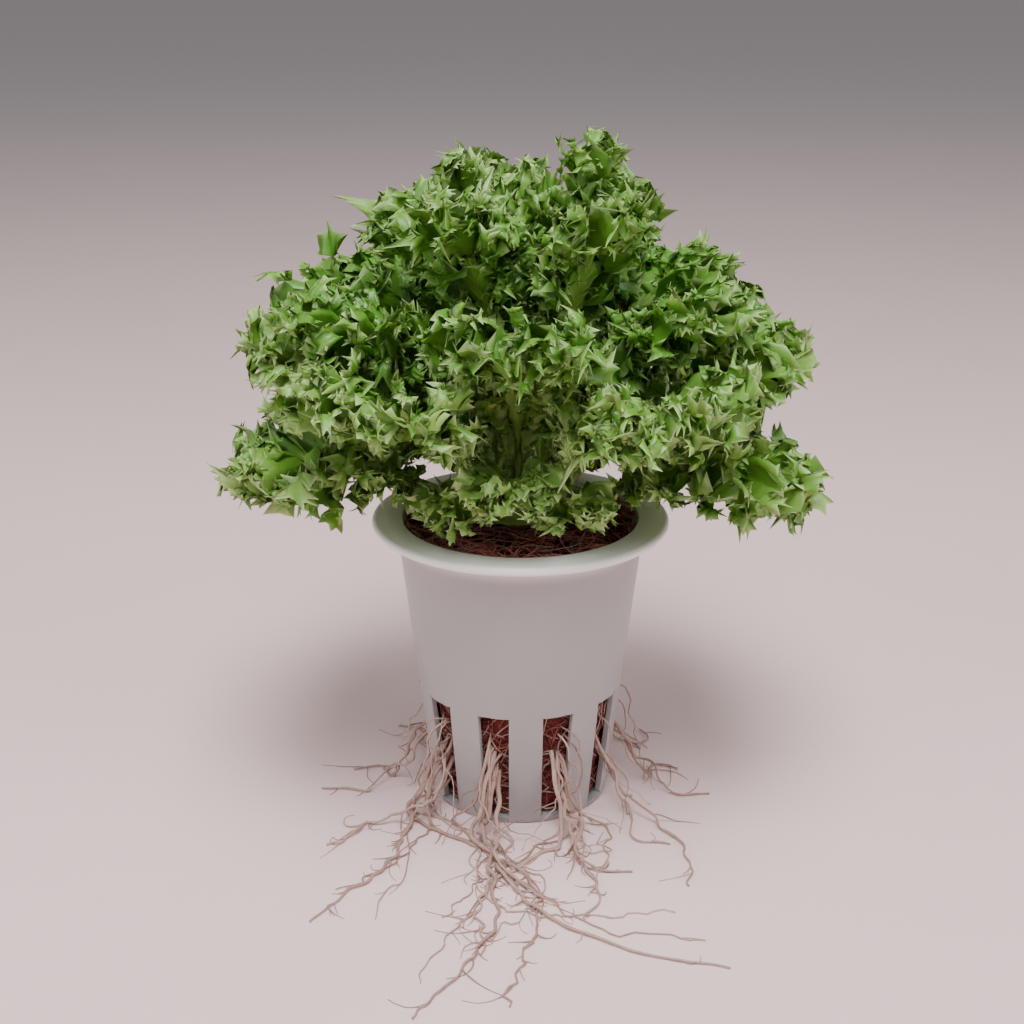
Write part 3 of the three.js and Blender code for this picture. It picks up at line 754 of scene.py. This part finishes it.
        # The pointed teeth on each lobe, with their own length, curl and lean.
        count = tier["teeth"] * POINTS_PER_LOBE + 1
        tooth_at = q * POINTS_PER_LOBE / 2
        tooth = np.minimum(np.floor(tooth_at), count - 2)
        tip = np.round(tooth_at).astype(int)
        stand = rng.uniform(0.5, 1.3, count)[tip] * frill.tooth_length / MM
        stand = stand * mix(0.35, 1, smooth(share, 0.08, 0.4))
        stand = (stand * np.abs(2 * (tooth_at - tooth) - 1) ** 2.1)[:, None]
        curl = rng.normal(0, 0.7, count)[tip, None]
        lean = rng.normal(0, 0.4, count)[tip, None]

        # The smaller waves on the coarse ones, and the blisters between the veins.
        ripple = np.interp(2 * q, np.arange(count), rng.uniform(0.5, 1.3, count))
        ripple = ripple * frill.second_wave / MM * strength
        shift = rng.normal(0, 0.5, tier["teeth"] + 1)
        phase = 2 * math.pi * q + np.interp(q, 2 * np.arange(len(shift)), shift)
        blisters = rough_waves(rng, 9, 8)

        rows = []
        numbers = {"vein": [], "edge": [], "tone": []}
        for out in BLADE_ROWS:
            lobe = mix(1 - cut, tip_reach, bulge * 0.8)
            reach = FRILL_SHARE * out * mix(1 - cut, lobe, smooth(out, 0.5, 1.0))
            swung = mix(swing, tip_swing, 0.35 * bulge * smooth(out, 0.8, 1))
            x = side * width * reach
            y = mix(vein, along, reach)
            centre, up = self.rib_at(y)
            lift = tier["wave"] * strength * smooth(out, 0.25, 0.9) * swung + x * x / (2 * tier["cup"])
            lift = lift + 0.8 * blisters(np.stack((x, y, 0 * x), -1)) * smooth(out, 0.1, 0.5)
            rows.append(centre + self.across * x[:, None] + up * lift[:, None])
            numbers["vein"].append(self.vein_share(np.abs(x), y, q, out))
            # The margin is painted paler: its own pale edge with a painted highlight on it.
            numbers["edge"].append(np.full_like(q, smooth(out, 0.94, 1.4)))
            # The blade's tone is painted darker towards the midrib, as painted shade deep in the head.
            numbers["tone"].append(np.full_like(q, 0.08 + 0.12 * smooth(out, 0.5, 1)))
        blade = np.array(rows)

        # The coarse waves fold over each other, and the smaller ones stand on their slopes.
        inside = np.array(BLADE_ROWS)[:, None]
        fold = -frill.fold / MM * strength * np.sin(math.pi * q)
        blade = blade + sheet_frame(blade)[1] * (smooth(inside, 0.25, 0.9) * fold)[..., None]
        _, tangent, normal = sheet_frame(blade)
        ripple = smooth(inside, 0.4, 1) * ripple
        blade = blade + normal * (ripple * np.sin(phase))[..., None]
        blade = blade + tangent * (ripple * 0.4 * np.sin(2 * phase))[..., None]
        outwards, tangent, normal = (way[-1] for way in sheet_frame(blade))
        tips = blade[-1] + outwards * stand + tangent * stand * lean + normal * (stand * curl)
        numbers["vein"].append(numbers["vein"][-1])
        # The teeth's tips are painted pale: their own pale tips with a painted highlight on them.
        numbers["edge"].append(np.full_like(q, 0.8))
        numbers["tone"].append(np.full_like(q, 0.5))
        numbers = {key: np.array(values) for key, values in numbers.items()}
        return np.concatenate((blade, tips[None])), numbers

    def vein_share(self, x, y, q, inside):
        """How pale the leaf is: its broad midrib that fans out, and a vein to each lobe."""
        share = y / self.length
        half = np.interp(share, (0, 0.25, 0.45, 0.7, 1), (4.5, 6.5, 8.5, 2.4, 0.8))
        rib = 1 - smooth(x / half, 0.6, 1.3)
        off = np.abs((q / 2 - np.floor(q / 2)) - 0.5)
        side_vein = (1 - smooth(off, 0.03, 0.16)) * (1 - smooth(inside, 0.25, 0.95))
        return np.clip(rib * (1 - 0.75 * smooth(share, 0.35, 0.9)) + 0.42 * side_vein, 0, 1)

    def thickness(self, columns):
        """The blade's thickness at each point, thick at the midrib and thin at the margin."""
        out = np.array((*BLADE_ROWS, 2))
        edge = BLADE_ROWS[BACKED_ROWS]
        across = np.interp(out, (0, 0.4 * edge, 0.8 * edge, edge), (1.6, 1.15, 0.6, 0))
        rib = mix(0.5, 1, np.abs(np.linspace(-1, 1, columns)))
        share = np.clip(1 - out / 0.5, 0, 1)
        return across[:, None] * (1 + share[:, None] * (rib - 1))

    def frill_bases(self, points, frill):
        """Where the small lobes stand on the blade: points, and the blade's frame at each of them."""
        rng = self.rng
        columns = points.shape[1]
        margin = len(BLADE_ROWS) - 1
        count = int(frill.lobes_per_lobe * self.tier["teeth"] * self.tier["small"])
        half = (np.arange(count) + rng.uniform(size=count)) / count
        share = np.where(half < 0.5, mix(0.1, 0.5, 2 * half), mix(0.5, 0.9, 2 * half - 1))
        column = np.clip((share * (columns - 1)).astype(int), 1, columns - 2)
        row = margin - rng.choice(len(self.tier["inner"]), count, p=self.tier["inner"])
        frame_there = (way[row, column] for way in sheet_frame(points[:margin + 1]))
        strength = mix(0.35, 1, smooth(1 - np.abs(2 * share - 1), 0.15, 0.45))
        strength = strength * np.where(row < margin, 0.7, 1)
        return (points[row, column], *frame_there, strength[:, None], (row < margin)[:, None])

    def frill_lobes(self, points, frill):
        """The small pointed lobes that crowd the frill: vertices, faces and numbers."""
        rng = self.rng
        bases = self.frill_bases(points, frill)
        kind = rng.choice(len(FRILLS), len(bases[0]), p=[share for *_, share in FRILLS])
        vertices, faces, numbers = [], [], {"vein": [], "edge": [], "tone": []}
        ring = np.array(FRILL_RINGS)[:, None]
        for k, (tips, breadth, _) in enumerate(FRILLS):
            made = self.small_lobes([part[kind == k] for part in bases], tips, breadth, frill)
            shape = made.shape[:3]
            index = sum(map(len, vertices)) + np.arange(np.prod(shape)).reshape(shape)
            vertices.append(made.reshape(-1, 3))
            faces.append(grid_faces(index).reshape(-1, 4))
            # Each small lobe has its own random tone, painted darker at its middle and base as painted
            # shade and lighter out to its rim as a painted highlight; its rim is paler still, partly its
            # own pale edge and partly painted highlight.
            lobe_tone_and_shade = (self.tone + rng.normal(0.14, 0.12, len(made)))[:, None, None] + 0.26 * ring ** 3
            pale = smooth(ring, 0.86, 1) * min(1, 0.55 + 0.9 * self.tone)
            for key, values in (("vein", 0.08 * (1 - ring)), ("edge", pale), ("tone", lobe_tone_and_shade)):
                numbers[key].append(np.broadcast_to(values, shape).ravel())
        numbers = {key: np.concatenate(values) for key, values in numbers.items()}
        return np.concatenate(vertices), np.concatenate(faces), numbers

    def small_lobes(self, bases, tips, breadth, frill):
        """Small lobes with a number of points, as rings of vertices from the middle out to the rim."""
        rng = self.rng
        base, outwards, tangent, normal, strength, standing = bases
        n = len(base)
        f = np.linspace(0, tips - 1, (tips - 1) * FRILL_STEPS + 1)
        cusp = np.abs(2 * (f - np.floor(f)) - 1) ** 2.8
        nearest = np.round(f).astype(int)
        turn = np.radians(np.linspace(-FRILL_TURN, FRILL_TURN, len(f)))

        # The rim, by the distances out along a lobe and across it, and the curl of its points.
        length = strength * rng.uniform(0.5, 1.3, (n, 1)) * frill.lobe_length / MM
        length = length * (self.tier["wave"] / FRILL_WAVE) ** 0.6
        wide = length * breadth * rng.uniform(0.8, 1.2, (n, 1))
        shift = rng.normal(0, 0.25, (n, tips))[:, nearest] * cusp
        spike = rng.uniform(0.5, 1.25, (n, tips))[:, nearest] * frill.lobe_spike / MM
        spike = spike * cusp * np.minimum(1, length / 5)
        rim_u = 0.46 * length + 0.38 * length * np.cos(turn) + spike * np.cos(turn + shift)
        rim_v = wide * np.sin(turn) + spike * np.sin(turn + shift)
        tip_curl = rng.normal(0, 0.85, (n, tips))[:, nearest] * cusp * spike

        # How each lobe bends, and which way it grows from the blade.
        bend = rng.normal(0, 1, (n, 1, 1)) * frill.lobe_bend
        cupped = rng.normal(0, 0.5, (n, 1, 1))
        twist = rng.normal(0, 0.16, (n, 1, 1))
        waves = rng.uniform(0, 2 * math.pi, (n, 1, 1))
        lean = rng.normal(self.tier["lean"], 0.8, (n, 1))
        lean = np.where(standing, np.sign(lean) * (0.6 + np.abs(lean)), lean)
        grow = unit(outwards + normal * lean + tangent * rng.normal(0, 0.5, (n, 1)))
        across = unit(np.cross(grow, normal + tangent * rng.normal(0, 0.8, (n, 1)) + grow * 0.01))
        face = np.cross(across, grow)

        ring = np.array(FRILL_RINGS)[:, None]
        u = ring * np.maximum(rim_u, 0.02)[:, None]
        v = ring * rim_v[:, None] + NECK_HALF_WIDTH * (1 - ring) * np.sin(turn)
        lift = cupped * v * v / (1 + 0.15 * v * v) + twist * u * v + tip_curl[:, None] * ring ** 4
        lift = lift + 0.13 * length[:, None] * ring * np.sin(3.4 * turn + waves)
        curve = bend * u + 1e-4
        lift = lift * np.cos(curve) + (1 - np.cos(curve)) / curve * u
        u = np.sin(curve) / curve * u
        ways = ((grow, u), (across, v), (face, lift))
        return base[:, None, None] + sum(way[:, None, None] * far[..., None] for way, far in ways)

    def build(self, frill, material):
        """The leaf's blade as a thin piece with a back to its midrib, and its frill's small lobes."""
        points, numbers = self.sheet(frill)
        rows, columns = points.shape[:2]
        index = np.arange(rows * columns).reshape(rows, columns)
        index[0] = np.minimum(np.arange(columns), columns - 1 - np.arange(columns))
        front = grid_faces(index).reshape(-1, 4)
        flat = points.reshape(-1, 3)
        a, b, c, d = (flat[corner] for corner in front.T)
        normals = np.zeros_like(flat)
        for corner in front.T:
            np.add.at(normals, corner, np.cross(c - a, d - b))
        offset = unit(normals) * self.thickness(columns).reshape(-1, 1) / 2
        back = index + len(flat)
        back[BACKED_ROWS:] = index[BACKED_ROWS:]
        behind = grid_faces(back)[:BACKED_ROWS].reshape(-1, 4)[:, ::-1]
        edge, rear = (np.append(grid[:BACKED_ROWS + 1, 0], grid[BACKED_ROWS - 1::-1, -1])
                      for grid in (index, back))
        sides = np.stack((edge[:-1], rear[:-1], rear[1:], edge[1:]), -1)
        used, faces = np.unique(np.concatenate((front, behind, sides)), return_inverse=True)
        values = {key: np.tile(value.ravel(), 2)[used] for key, value in numbers.items()}
        values["tone"] = values["tone"] + self.tone
        lobes, lobe_faces, lobe_values = self.frill_lobes(points, frill)
        vertices = np.concatenate((np.concatenate((flat + offset, flat - offset))[used], lobes))
        faces = np.concatenate((faces.reshape(-1, 4), lobe_faces + len(used)))
        values = {key: np.concatenate((values[key], lobe_values[key])) for key in values}
        piece = mesh_piece("fine_" + self.name, vertices, faces, material, values)
        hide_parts(self.name)


# ---- Roots ----


def spaced(points, count):
    """Evenly spaced points on a smooth curve through the given points."""
    points = np.asarray(points, float)
    ends = np.concatenate((2 * points[:1] - points[1:2], points, 2 * points[-1:] - points[-2:-1]))
    fine = []
    for i in range(1, len(ends) - 2):
        p0, p1, p2, p3 = ends[i - 1:i + 3]
        t = np.linspace(0, 1, 16, endpoint=False)[:, None]
        fine.append(0.5 * (2 * p1 + (p2 - p0) * t + (2 * p0 - 5 * p1 + 4 * p2 - p3) * t ** 2
                           + (3 * p1 - p0 - 3 * p2 + p3) * t ** 3))
    fine = np.concatenate(fine + [points[-1:]])
    run = np.concatenate(([0], np.cumsum(np.linalg.norm(np.diff(fine, axis=0), axis=1))))
    at = np.linspace(0, run[-1], count)
    return np.stack([np.interp(at, run, fine[:, axis]) for axis in range(3)], -1)


def beside(start, end, share, bow):
    """The point a share of the way between two points and a distance to the side of their line."""
    return mix(start, end, share) + bow * unit(np.cross(end - start, (0, 0, 1.0)))


def root_line(slot, index, route):
    """The line of one root: out of its slot, down to the ground and along it to its tip."""
    direction, distance, bow = route
    turn = slot_direction(slot)
    side = (index - 1) * 3.2
    height = 14 - 2.2 * index
    leave = cup_radius(height)
    landing = polar(turn + side, leave + 8, ROOT_RADIUS)
    tip = polar(direction, distance, ROOT_TIP_RADIUS)
    points = (
        polar(turn + side / 2, leave - 1.5, height + 2.5),
        polar(turn + side / 2, leave, height),
        polar(turn + side, leave + 2.6, height - 2.5),
        polar(turn + side, leave + 5, height * 0.35 + ROOT_RADIUS),
        landing,
        beside(landing, tip, 0.5, bow),
        tip,
    )
    return spaced(points, ROOT_POINTS)


def wandered(line, rng, size, reach):
    """The line with a gentle wander that leaves its first points where they are."""
    wave = rough_waves(rng, size, 6)
    other = rough_waves(rng, size, 6)
    share = smooth(np.linspace(0, 1, len(line)), 0.05, 0.3)[:, None]
    shift = np.stack((wave(line), other(line), 0 * wave(line)), -1)
    return line + reach * share * shift


def lay_over(line, radii, laid):
    """Lifts a root where it passes over the ones that were laid before it."""
    height = np.maximum(line[:, 2], radii)
    if laid:
        under = np.concatenate(laid)
        apart = np.hypot(line[:, None, 0] - under[:, 0], line[:, None, 1] - under[:, 1])
        needed = under[:, 2] + under[:, 3] + radii[:, None] + 0.1 - 0.35 * np.maximum(0, apart - 0.6)
        needed = np.where((under[:, 2] < 4) & (apart < 8), needed, 0)
        height = np.maximum(height, np.minimum(needed.max(1), 6))
    return np.column_stack((line[:, :2], height))


def loose_line(slot, rng, route):
    """The line of a finer root that leaves its slot anywhere and lies roughly along a route."""
    direction, distance, bow = route
    turn = slot_direction(slot) + rng.uniform(-4, 4)
    high = rng.uniform(5, 21)
    leave = cup_radius(high)
    landing = polar(turn + rng.normal(0, 8), BASE_RADIUS + rng.uniform(4, 13), 0.4)
    tip = polar(direction + rng.normal(0, 10), distance * rng.uniform(0.55, 0.93), 0.3)
    middle = beside(landing, tip, rng.uniform(0.35, 0.65), bow + rng.normal(0, 4))
    points = (
        polar(turn, leave - 1.6, high + rng.uniform(0, 2)),
        polar(turn + rng.normal(0, 2), leave + rng.uniform(0.3, 1.5), high - 1.5),
        polar(turn + rng.normal(0, 6), leave + rng.uniform(1.5, 4.5), high * 0.45),
        landing,
        middle,
        tip,
    )
    return spaced(points, LOOSE_POINTS)


def hanging_line(slot, rng):
    """The line of a thin strand that hangs from its slot to the ground close by."""
    turn = slot_direction(slot) + rng.normal(0, 3)
    high = rng.uniform(7, 22)
    leave = cup_radius(high)
    ways = rng.normal(0, (4, 7, 13))
    points = (
        polar(turn, leave - 1.6, high),
        polar(turn + ways[0], leave + rng.uniform(0.4, 2.2), high - rng.uniform(1, 4)),
        polar(turn + ways[1], leave + rng.uniform(1, 5), high * rng.uniform(0.3, 0.5)),
        polar(turn + ways[2], BASE_RADIUS + rng.uniform(3, 13), 0.3),
    )
    return spaced(points, HANGING_POINTS)


def side_roots(strands, rng, line, radii, count):
    """Short thin side roots that leave a root and lie on the ground."""
    for _ in range(count):
        at = int(rng.uniform(0.3, 0.97) * (len(line) - 1))
        start = line[at]
        if start[2] > 5:
            continue
        way = line[min(at + 1, len(line) - 1)] - line[at - 1]
        heading = math.atan2(way[1], way[0]) + rng.choice((-1, 1)) * rng.uniform(0.4, 1.3)
        length = rng.uniform(2, 5) if rng.uniform() < 0.75 else rng.uniform(5, 12)
        flat = arc_line(rng, start[:2], heading, length, rng.normal(0, 0.16), 8)
        if np.hypot(*flat.T).min() < BASE_RADIUS + 1:
            continue
        thin = np.linspace(min(0.26, radii[at] * 0.65), 0.07, 9)
        z = np.maximum(mix(start[2], thin[-1], smooth(np.linspace(0, 1, 9), 0, 0.6)), thin)
        strands.add(np.column_stack((flat, z)), thin, rng.uniform(0.1, 0.8))


def build_roots(slot, laid, material):
    """Builds the roots of one slot: the main ones, finer ones beside them, and side roots."""
    rng = np.random.default_rng(500 + slot)
    strands = Tubes(6)
    fine = Tubes(4)
    in_front = slot in FRONT_SLOTS
    for index, route in enumerate(ROOTS[slot]):
        line = wandered(root_line(slot, index, route), rng, 12, 0.8)
        radii = np.linspace(ROOT_RADIUS * (0.7 if in_front else 0.5), ROOT_TIP_RADIUS * 0.4, ROOT_POINTS)
        radii = radii * (1 + 0.12 * rough_waves(rng, 4, 5)(line))
        line = lay_over(line, radii, laid)
        strands.add(line, radii, rng.uniform(0.3, 0.8))
        laid.append(np.column_stack((line, radii))[::2])
        side_roots(fine, rng, line, radii, 12 if in_front else 4)
        for _ in range(2 if in_front and index < 2 else 0):
            line = wandered(loose_line(slot, rng, route), rng, 9, 0.9)
            radii = np.linspace(rng.uniform(0.2, 0.38), 0.1, LOOSE_POINTS)
            line = lay_over(line, radii, [])
            strands.add(line, radii, rng.uniform(0.1, 1))
            side_roots(fine, rng, line, radii, 5)
    for _ in range(5 if in_front else 2):
        line = wandered(hanging_line(slot, rng), rng, 7, 0.6)
        line[:, 2] = np.maximum(line[:, 2], 0.2)
        fine.add(line, np.linspace(rng.uniform(0.16, 0.3), 0.08, HANGING_POINTS), rng.uniform(0.1, 1))
    name = "roots_slot_{}".format(slot + 1)
    pieces = [strands.piece("fine_" + name, material), fine.piece("thin_" + name, material)]
    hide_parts(name)


# ---- Settings ----


def colour_property(name, description, default):
    """A colour that the sidebar shows."""
    return bpy.props.FloatVectorProperty(
        name=name, description=description, default=default, subtype="COLOR", size=3, min=0, max=1
    )


def length_property(name, description, millimetres, **limits):
    """A length that the sidebar shows, with its default in millimetres."""
    return bpy.props.FloatProperty(
        name=name, description=description, default=millimetres * MM, unit="LENGTH", subtype="DISTANCE",
        **limits
    )


def number_property(name, description, default):
    """A number from 0 up that the sidebar shows."""
    return bpy.props.FloatProperty(name=name, description=description, default=default, min=0)


class EndiveColours(bpy.types.PropertyGroup):
    """The colours of the plant, its cup and the floor."""

    deep_green: colour_property("Deep green", "Leaf in its darker parts", (0.052, 0.2, 0.009))
    fresh_green: colour_property("Fresh green", "Leaf in its lighter parts", (0.128, 0.3, 0.031))
    young_green: colour_property("Young green", "Leaves of the heart", (0.28, 0.46, 0.11))
    pale_vein: colour_property("Pale vein", "Midribs and veins", (0.30, 0.46, 0.09))
    # Pale edge is partly the frill's own paler margin and partly a painted highlight.
    pale_edge_and_highlight: colour_property("Pale edge", "Tips and edges of the frill", (0.46, 0.62, 0.25))
    cup_white: colour_property("Cup white", "The flange's plastic", (0.86, 0.84, 0.82))
    # The cup wall colours hold painted shade: far darker than the flange's white, partly for the coir
    # behind it.
    shaded_cup_wall: colour_property("Cup wall", "The thin wall with coir behind it", (0.37, 0.346, 0.346))
    shaded_cup_mottle: colour_property("Cup shade", "Faint mottle of the wall", (0.34, 0.318, 0.317))
    coir_dark: colour_property("Coir dark", "Coir in its hollows", (0.075, 0.014, 0.013))
    coir_brown: colour_property("Coir brown", "Coir dust", (0.17, 0.034, 0.03))
    coir_fibre: colour_property("Coir fibre", "Coir fibres", (0.46, 0.15, 0.12))
    root_dark: colour_property("Root dark", "Older roots", (0.26, 0.14, 0.11))
    root_pale: colour_property("Root pale", "Young roots", (0.54, 0.38, 0.32))
    floor: colour_property("Floor", "The floor", (0.84, 0.63, 0.63))
    floor_shade: colour_property("Floor shade", "Faint mottle of the floor", (0.79, 0.59, 0.59))
    floor_far: colour_property("Far floor", "The floor a long way off", (0.68, 0.61, 0.62))


class EndiveFrill(bpy.types.PropertyGroup):
    """How far the leaves' margins are frilled, beyond the waves of their solids."""

    tooth_length: length_property("Tooth length", "Mean length of a pointed tooth", 1.7, min=0)
    second_wave: length_property("Second wave", "Swing of the smaller waves", 1.7, min=0)
    fold: length_property("Fold", "How far the waves hang over each other", 0.8, min=0)
    lobes_per_lobe: number_property("Small lobes", "Small lobes for each lobe of the margin", 7.0)
    lobe_length: length_property("Small lobe length", "Mean length of a small lobe", 5.4, min=0)
    lobe_bend: number_property("Small lobe bend", "Mean bend of a small lobe, per mm", 0.46)
    lobe_spike: length_property("Small lobe points", "Mean length of its points", 1.95, min=0)


class EndiveCoir(bpy.types.PropertyGroup):
    """How much loose fibre the coir has."""

    top_fibres: bpy.props.IntProperty(
        name="Top fibres", description="Loose fibres on the top", default=420, min=0
    )
    side_fibres: bpy.props.IntProperty(
        name="Side fibres", description="Fibres behind the slots", default=420, min=0
    )
    fibre_radius: length_property("Fibre radius", "Radius of a coir fibre", 0.16, min=0)


class EndiveStage(bpy.types.PropertyGroup):
    """The camera and the lights."""

    camera_distance: length_property("Camera distance", "From the cup's axis", 297.3, min=0)
    camera_height: length_property("Camera height", "Above the floor", 170.2, min=0)
    camera_shift: length_property("Camera offset", "To the right of the axis", -1.7)
    camera_pitch: bpy.props.FloatProperty(
        name="Camera pitch", description="How far the camera looks down", default=math.radians(20.12),
        subtype="ANGLE"
    )
    lens: bpy.props.FloatProperty(
        name="Lens", description="Focal length on a 36 mm sensor", default=55.0, min=1, unit="CAMERA"
    )
    key_power: number_property("Key light", "Power of the light overhead, in watts", 6.2)
    fill_power: number_property("Fill light", "Power of the front light, in watts", 2.7)
    side_power: number_property("Side lights", "Power of each side light, in watts", 2.4)
    sky: number_property("Sky", "Strength of the soft light all round", 0.31)


# ---- Operators ----


class ENDIVE_OT_cup(bpy.types.Operator):
    """Build the net cup"""

    bl_idname = "endive.cup"
    bl_label = "Net Cup"

    def execute(self, context):
        piece = build_cup(cup_material(context.scene.endive_colours))
        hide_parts("net_cup")
        return {"FINISHED"}


class ENDIVE_OT_coir(bpy.types.Operator):
    """Build the coir plug and its loose fibres"""

    bl_idname = "endive.coir"
    bl_label = "Coir Plug"

    def execute(self, context):
        colours = context.scene.endive_colours
        settings = context.scene.endive_coir
        body = build_coir(coir_material(colours))
        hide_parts("coir_plug")
        rng = np.random.default_rng(SEED + 1)
        radius = settings.fibre_radius / MM
        coir = Tubes(3)
        top_fibres(coir, rng, settings.top_fibres, radius, (6, 24), 2.2)
        side_fibres(coir, rng, settings.side_fibres, radius, (4, 16), 27)
        finish = strand_material("coir_strand", colours.coir_dark, colours.coir_fibre, 0.8)
        fibres = coir.piece("coir_fibres", finish)
        threads = Tubes(4)
        top_fibres(threads, rng, 100, 0.13, (8, 22), 1.6)
        side_fibres(threads, rng, 200, 0.16, (6, 20), 26)
        finish = strand_material("root_thread", colours.root_dark, colours.root_pale, 0.6)
        roots = threads.piece("root_threads", finish)
        return {"FINISHED"}


class ENDIVE_OT_crown(bpy.types.Operator):
    """Give the crown its finish"""

    bl_idname = "endive.crown"
    bl_label = "Crown"

    def execute(self, context):
        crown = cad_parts["crown"]
        crown.data.materials.clear()
        crown.data.materials.append(crown_material(context.scene.endive_colours))
        return {"FINISHED"}


class ENDIVE_OT_leaves(bpy.types.Operator):
    """Build every leaf with its frill"""

    bl_idname = "endive.leaves"
    bl_label = "Leaves"

    def execute(self, context):
        material = leaf_material(context.scene.endive_colours)
        for t, tier in enumerate(TIERS):
            for k in range(len(tier["leaves"])):
                Leaf(tier, t, k).build(context.scene.endive_frill, material)
        return {"FINISHED"}


class ENDIVE_OT_roots(bpy.types.Operator):
    """Build the roots that come out of the slots"""

    bl_idname = "endive.roots"
    bl_label = "Roots"

    def execute(self, context):
        colours = context.scene.endive_colours
        material = strand_material("root_skin", colours.root_dark, colours.root_pale, 0.55)
        laid = []
        for slot in range(SLOTS):
            build_roots(slot, laid, material)
        return {"FINISHED"}


class ENDIVE_OT_stage(bpy.types.Operator):
    """Set the floor, the lights and the camera"""

    bl_idname = "endive.stage"
    bl_label = "Stage"

    def execute(self, context):
        scene = context.scene
        settings = scene.endive_stage
        reach = FLOOR_REACH
        corners = [(-reach, -reach, 0), (reach, -reach, 0), (reach, reach, 0), (-reach, reach, 0)]
        mesh = bpy.data.meshes.new("floor")
        mesh.from_pydata(corners, [], [(0, 1, 2, 3)])
        mesh.materials.append(floor_material(scene.endive_colours))
        floor = bpy.data.objects.new("floor", mesh)
        scene.collection.objects.link(floor)
        self.light(scene, "key", (0, -0.23, 0.8), 0.35, settings.key_power)
        self.light(scene, "fill", (0, -0.42, 0.68), 0.28, settings.fill_power)
        self.light(scene, "side", (-0.7, -0.28, 0.33), 0.45, settings.side_power)
        self.light(scene, "side", (0.7, -0.28, 0.33), 0.45, settings.side_power)
        world = bpy.data.worlds.new("soft_sky")
        world.use_nodes = True
        background = world.node_tree.nodes["Background"]
        background.inputs["Color"].default_value = SKY_COLOUR
        background.inputs["Strength"].default_value = settings.sky
        scene.world = world
        camera = bpy.data.objects.new("camera", bpy.data.cameras.new("camera"))
        camera.data.lens = settings.lens
        camera.location = (settings.camera_shift, -settings.camera_distance, settings.camera_height)
        camera.rotation_euler = (math.pi / 2 - settings.camera_pitch, 0, 0)
        camera.data.clip_start = 0.01
        scene.collection.objects.link(camera)
        scene.camera = camera
        return {"FINISHED"}

    @staticmethod
    def light(scene, name, place, size, power):
        """A soft square light that faces the plant."""
        data = bpy.data.lights.new(name, "AREA")
        data.size = size
        data.energy = power
        lamp = bpy.data.objects.new(name, data)
        lamp.location = place
        lamp.rotation_mode = "QUATERNION"
        lamp.rotation_quaternion = (Vector(LIGHT_TARGET) - Vector(place)).to_track_quat("-Z", "Y")
        scene.collection.objects.link(lamp)


class ENDIVE_PT_panel(bpy.types.Panel):
    """The plant's settings and operators"""

    bl_label = "Curly Endive"
    bl_space_type = "VIEW_3D"
    bl_region_type = "UI"
    bl_category = "Endive"

    def draw(self, context):
        for key in SETTINGS:
            group = getattr(context.scene, key)
            for name in group.bl_rna.properties.keys():
                if name not in {"rna_type", "name"}:
                    self.layout.prop(group, name)
        for operator in OPERATORS:
            self.layout.operator(operator.bl_idname)


SETTINGS = {
    "endive_colours": EndiveColours,
    "endive_frill": EndiveFrill,
    "endive_coir": EndiveCoir,
    "endive_stage": EndiveStage,
}
OPERATORS = (
    ENDIVE_OT_cup,
    ENDIVE_OT_coir,
    ENDIVE_OT_crown,
    ENDIVE_OT_leaves,
    ENDIVE_OT_roots,
    ENDIVE_OT_stage,
)
CLASSES = (*SETTINGS.values(), *OPERATORS, ENDIVE_PT_panel)


def register():
    """Makes the settings, the operators and the panel known."""
    for cls in CLASSES:
        bpy.utils.register_class(cls)
    for key, group in SETTINGS.items():
        setattr(bpy.types.Scene, key, bpy.props.PointerProperty(type=group))


def unregister():
    """Takes them away again."""
    for key in SETTINGS:
        delattr(bpy.types.Scene, key)
    for cls in reversed(CLASSES):
        bpy.utils.unregister_class(cls)


def main():
    """Builds the plant piece by piece."""
    register()
    bpy.ops.endive.stage()
    bpy.ops.endive.cup()
    bpy.ops.endive.coir()
    bpy.ops.endive.crown()
    bpy.ops.endive.leaves()
    bpy.ops.endive.roots()


if __name__ == "__main__":
    main()
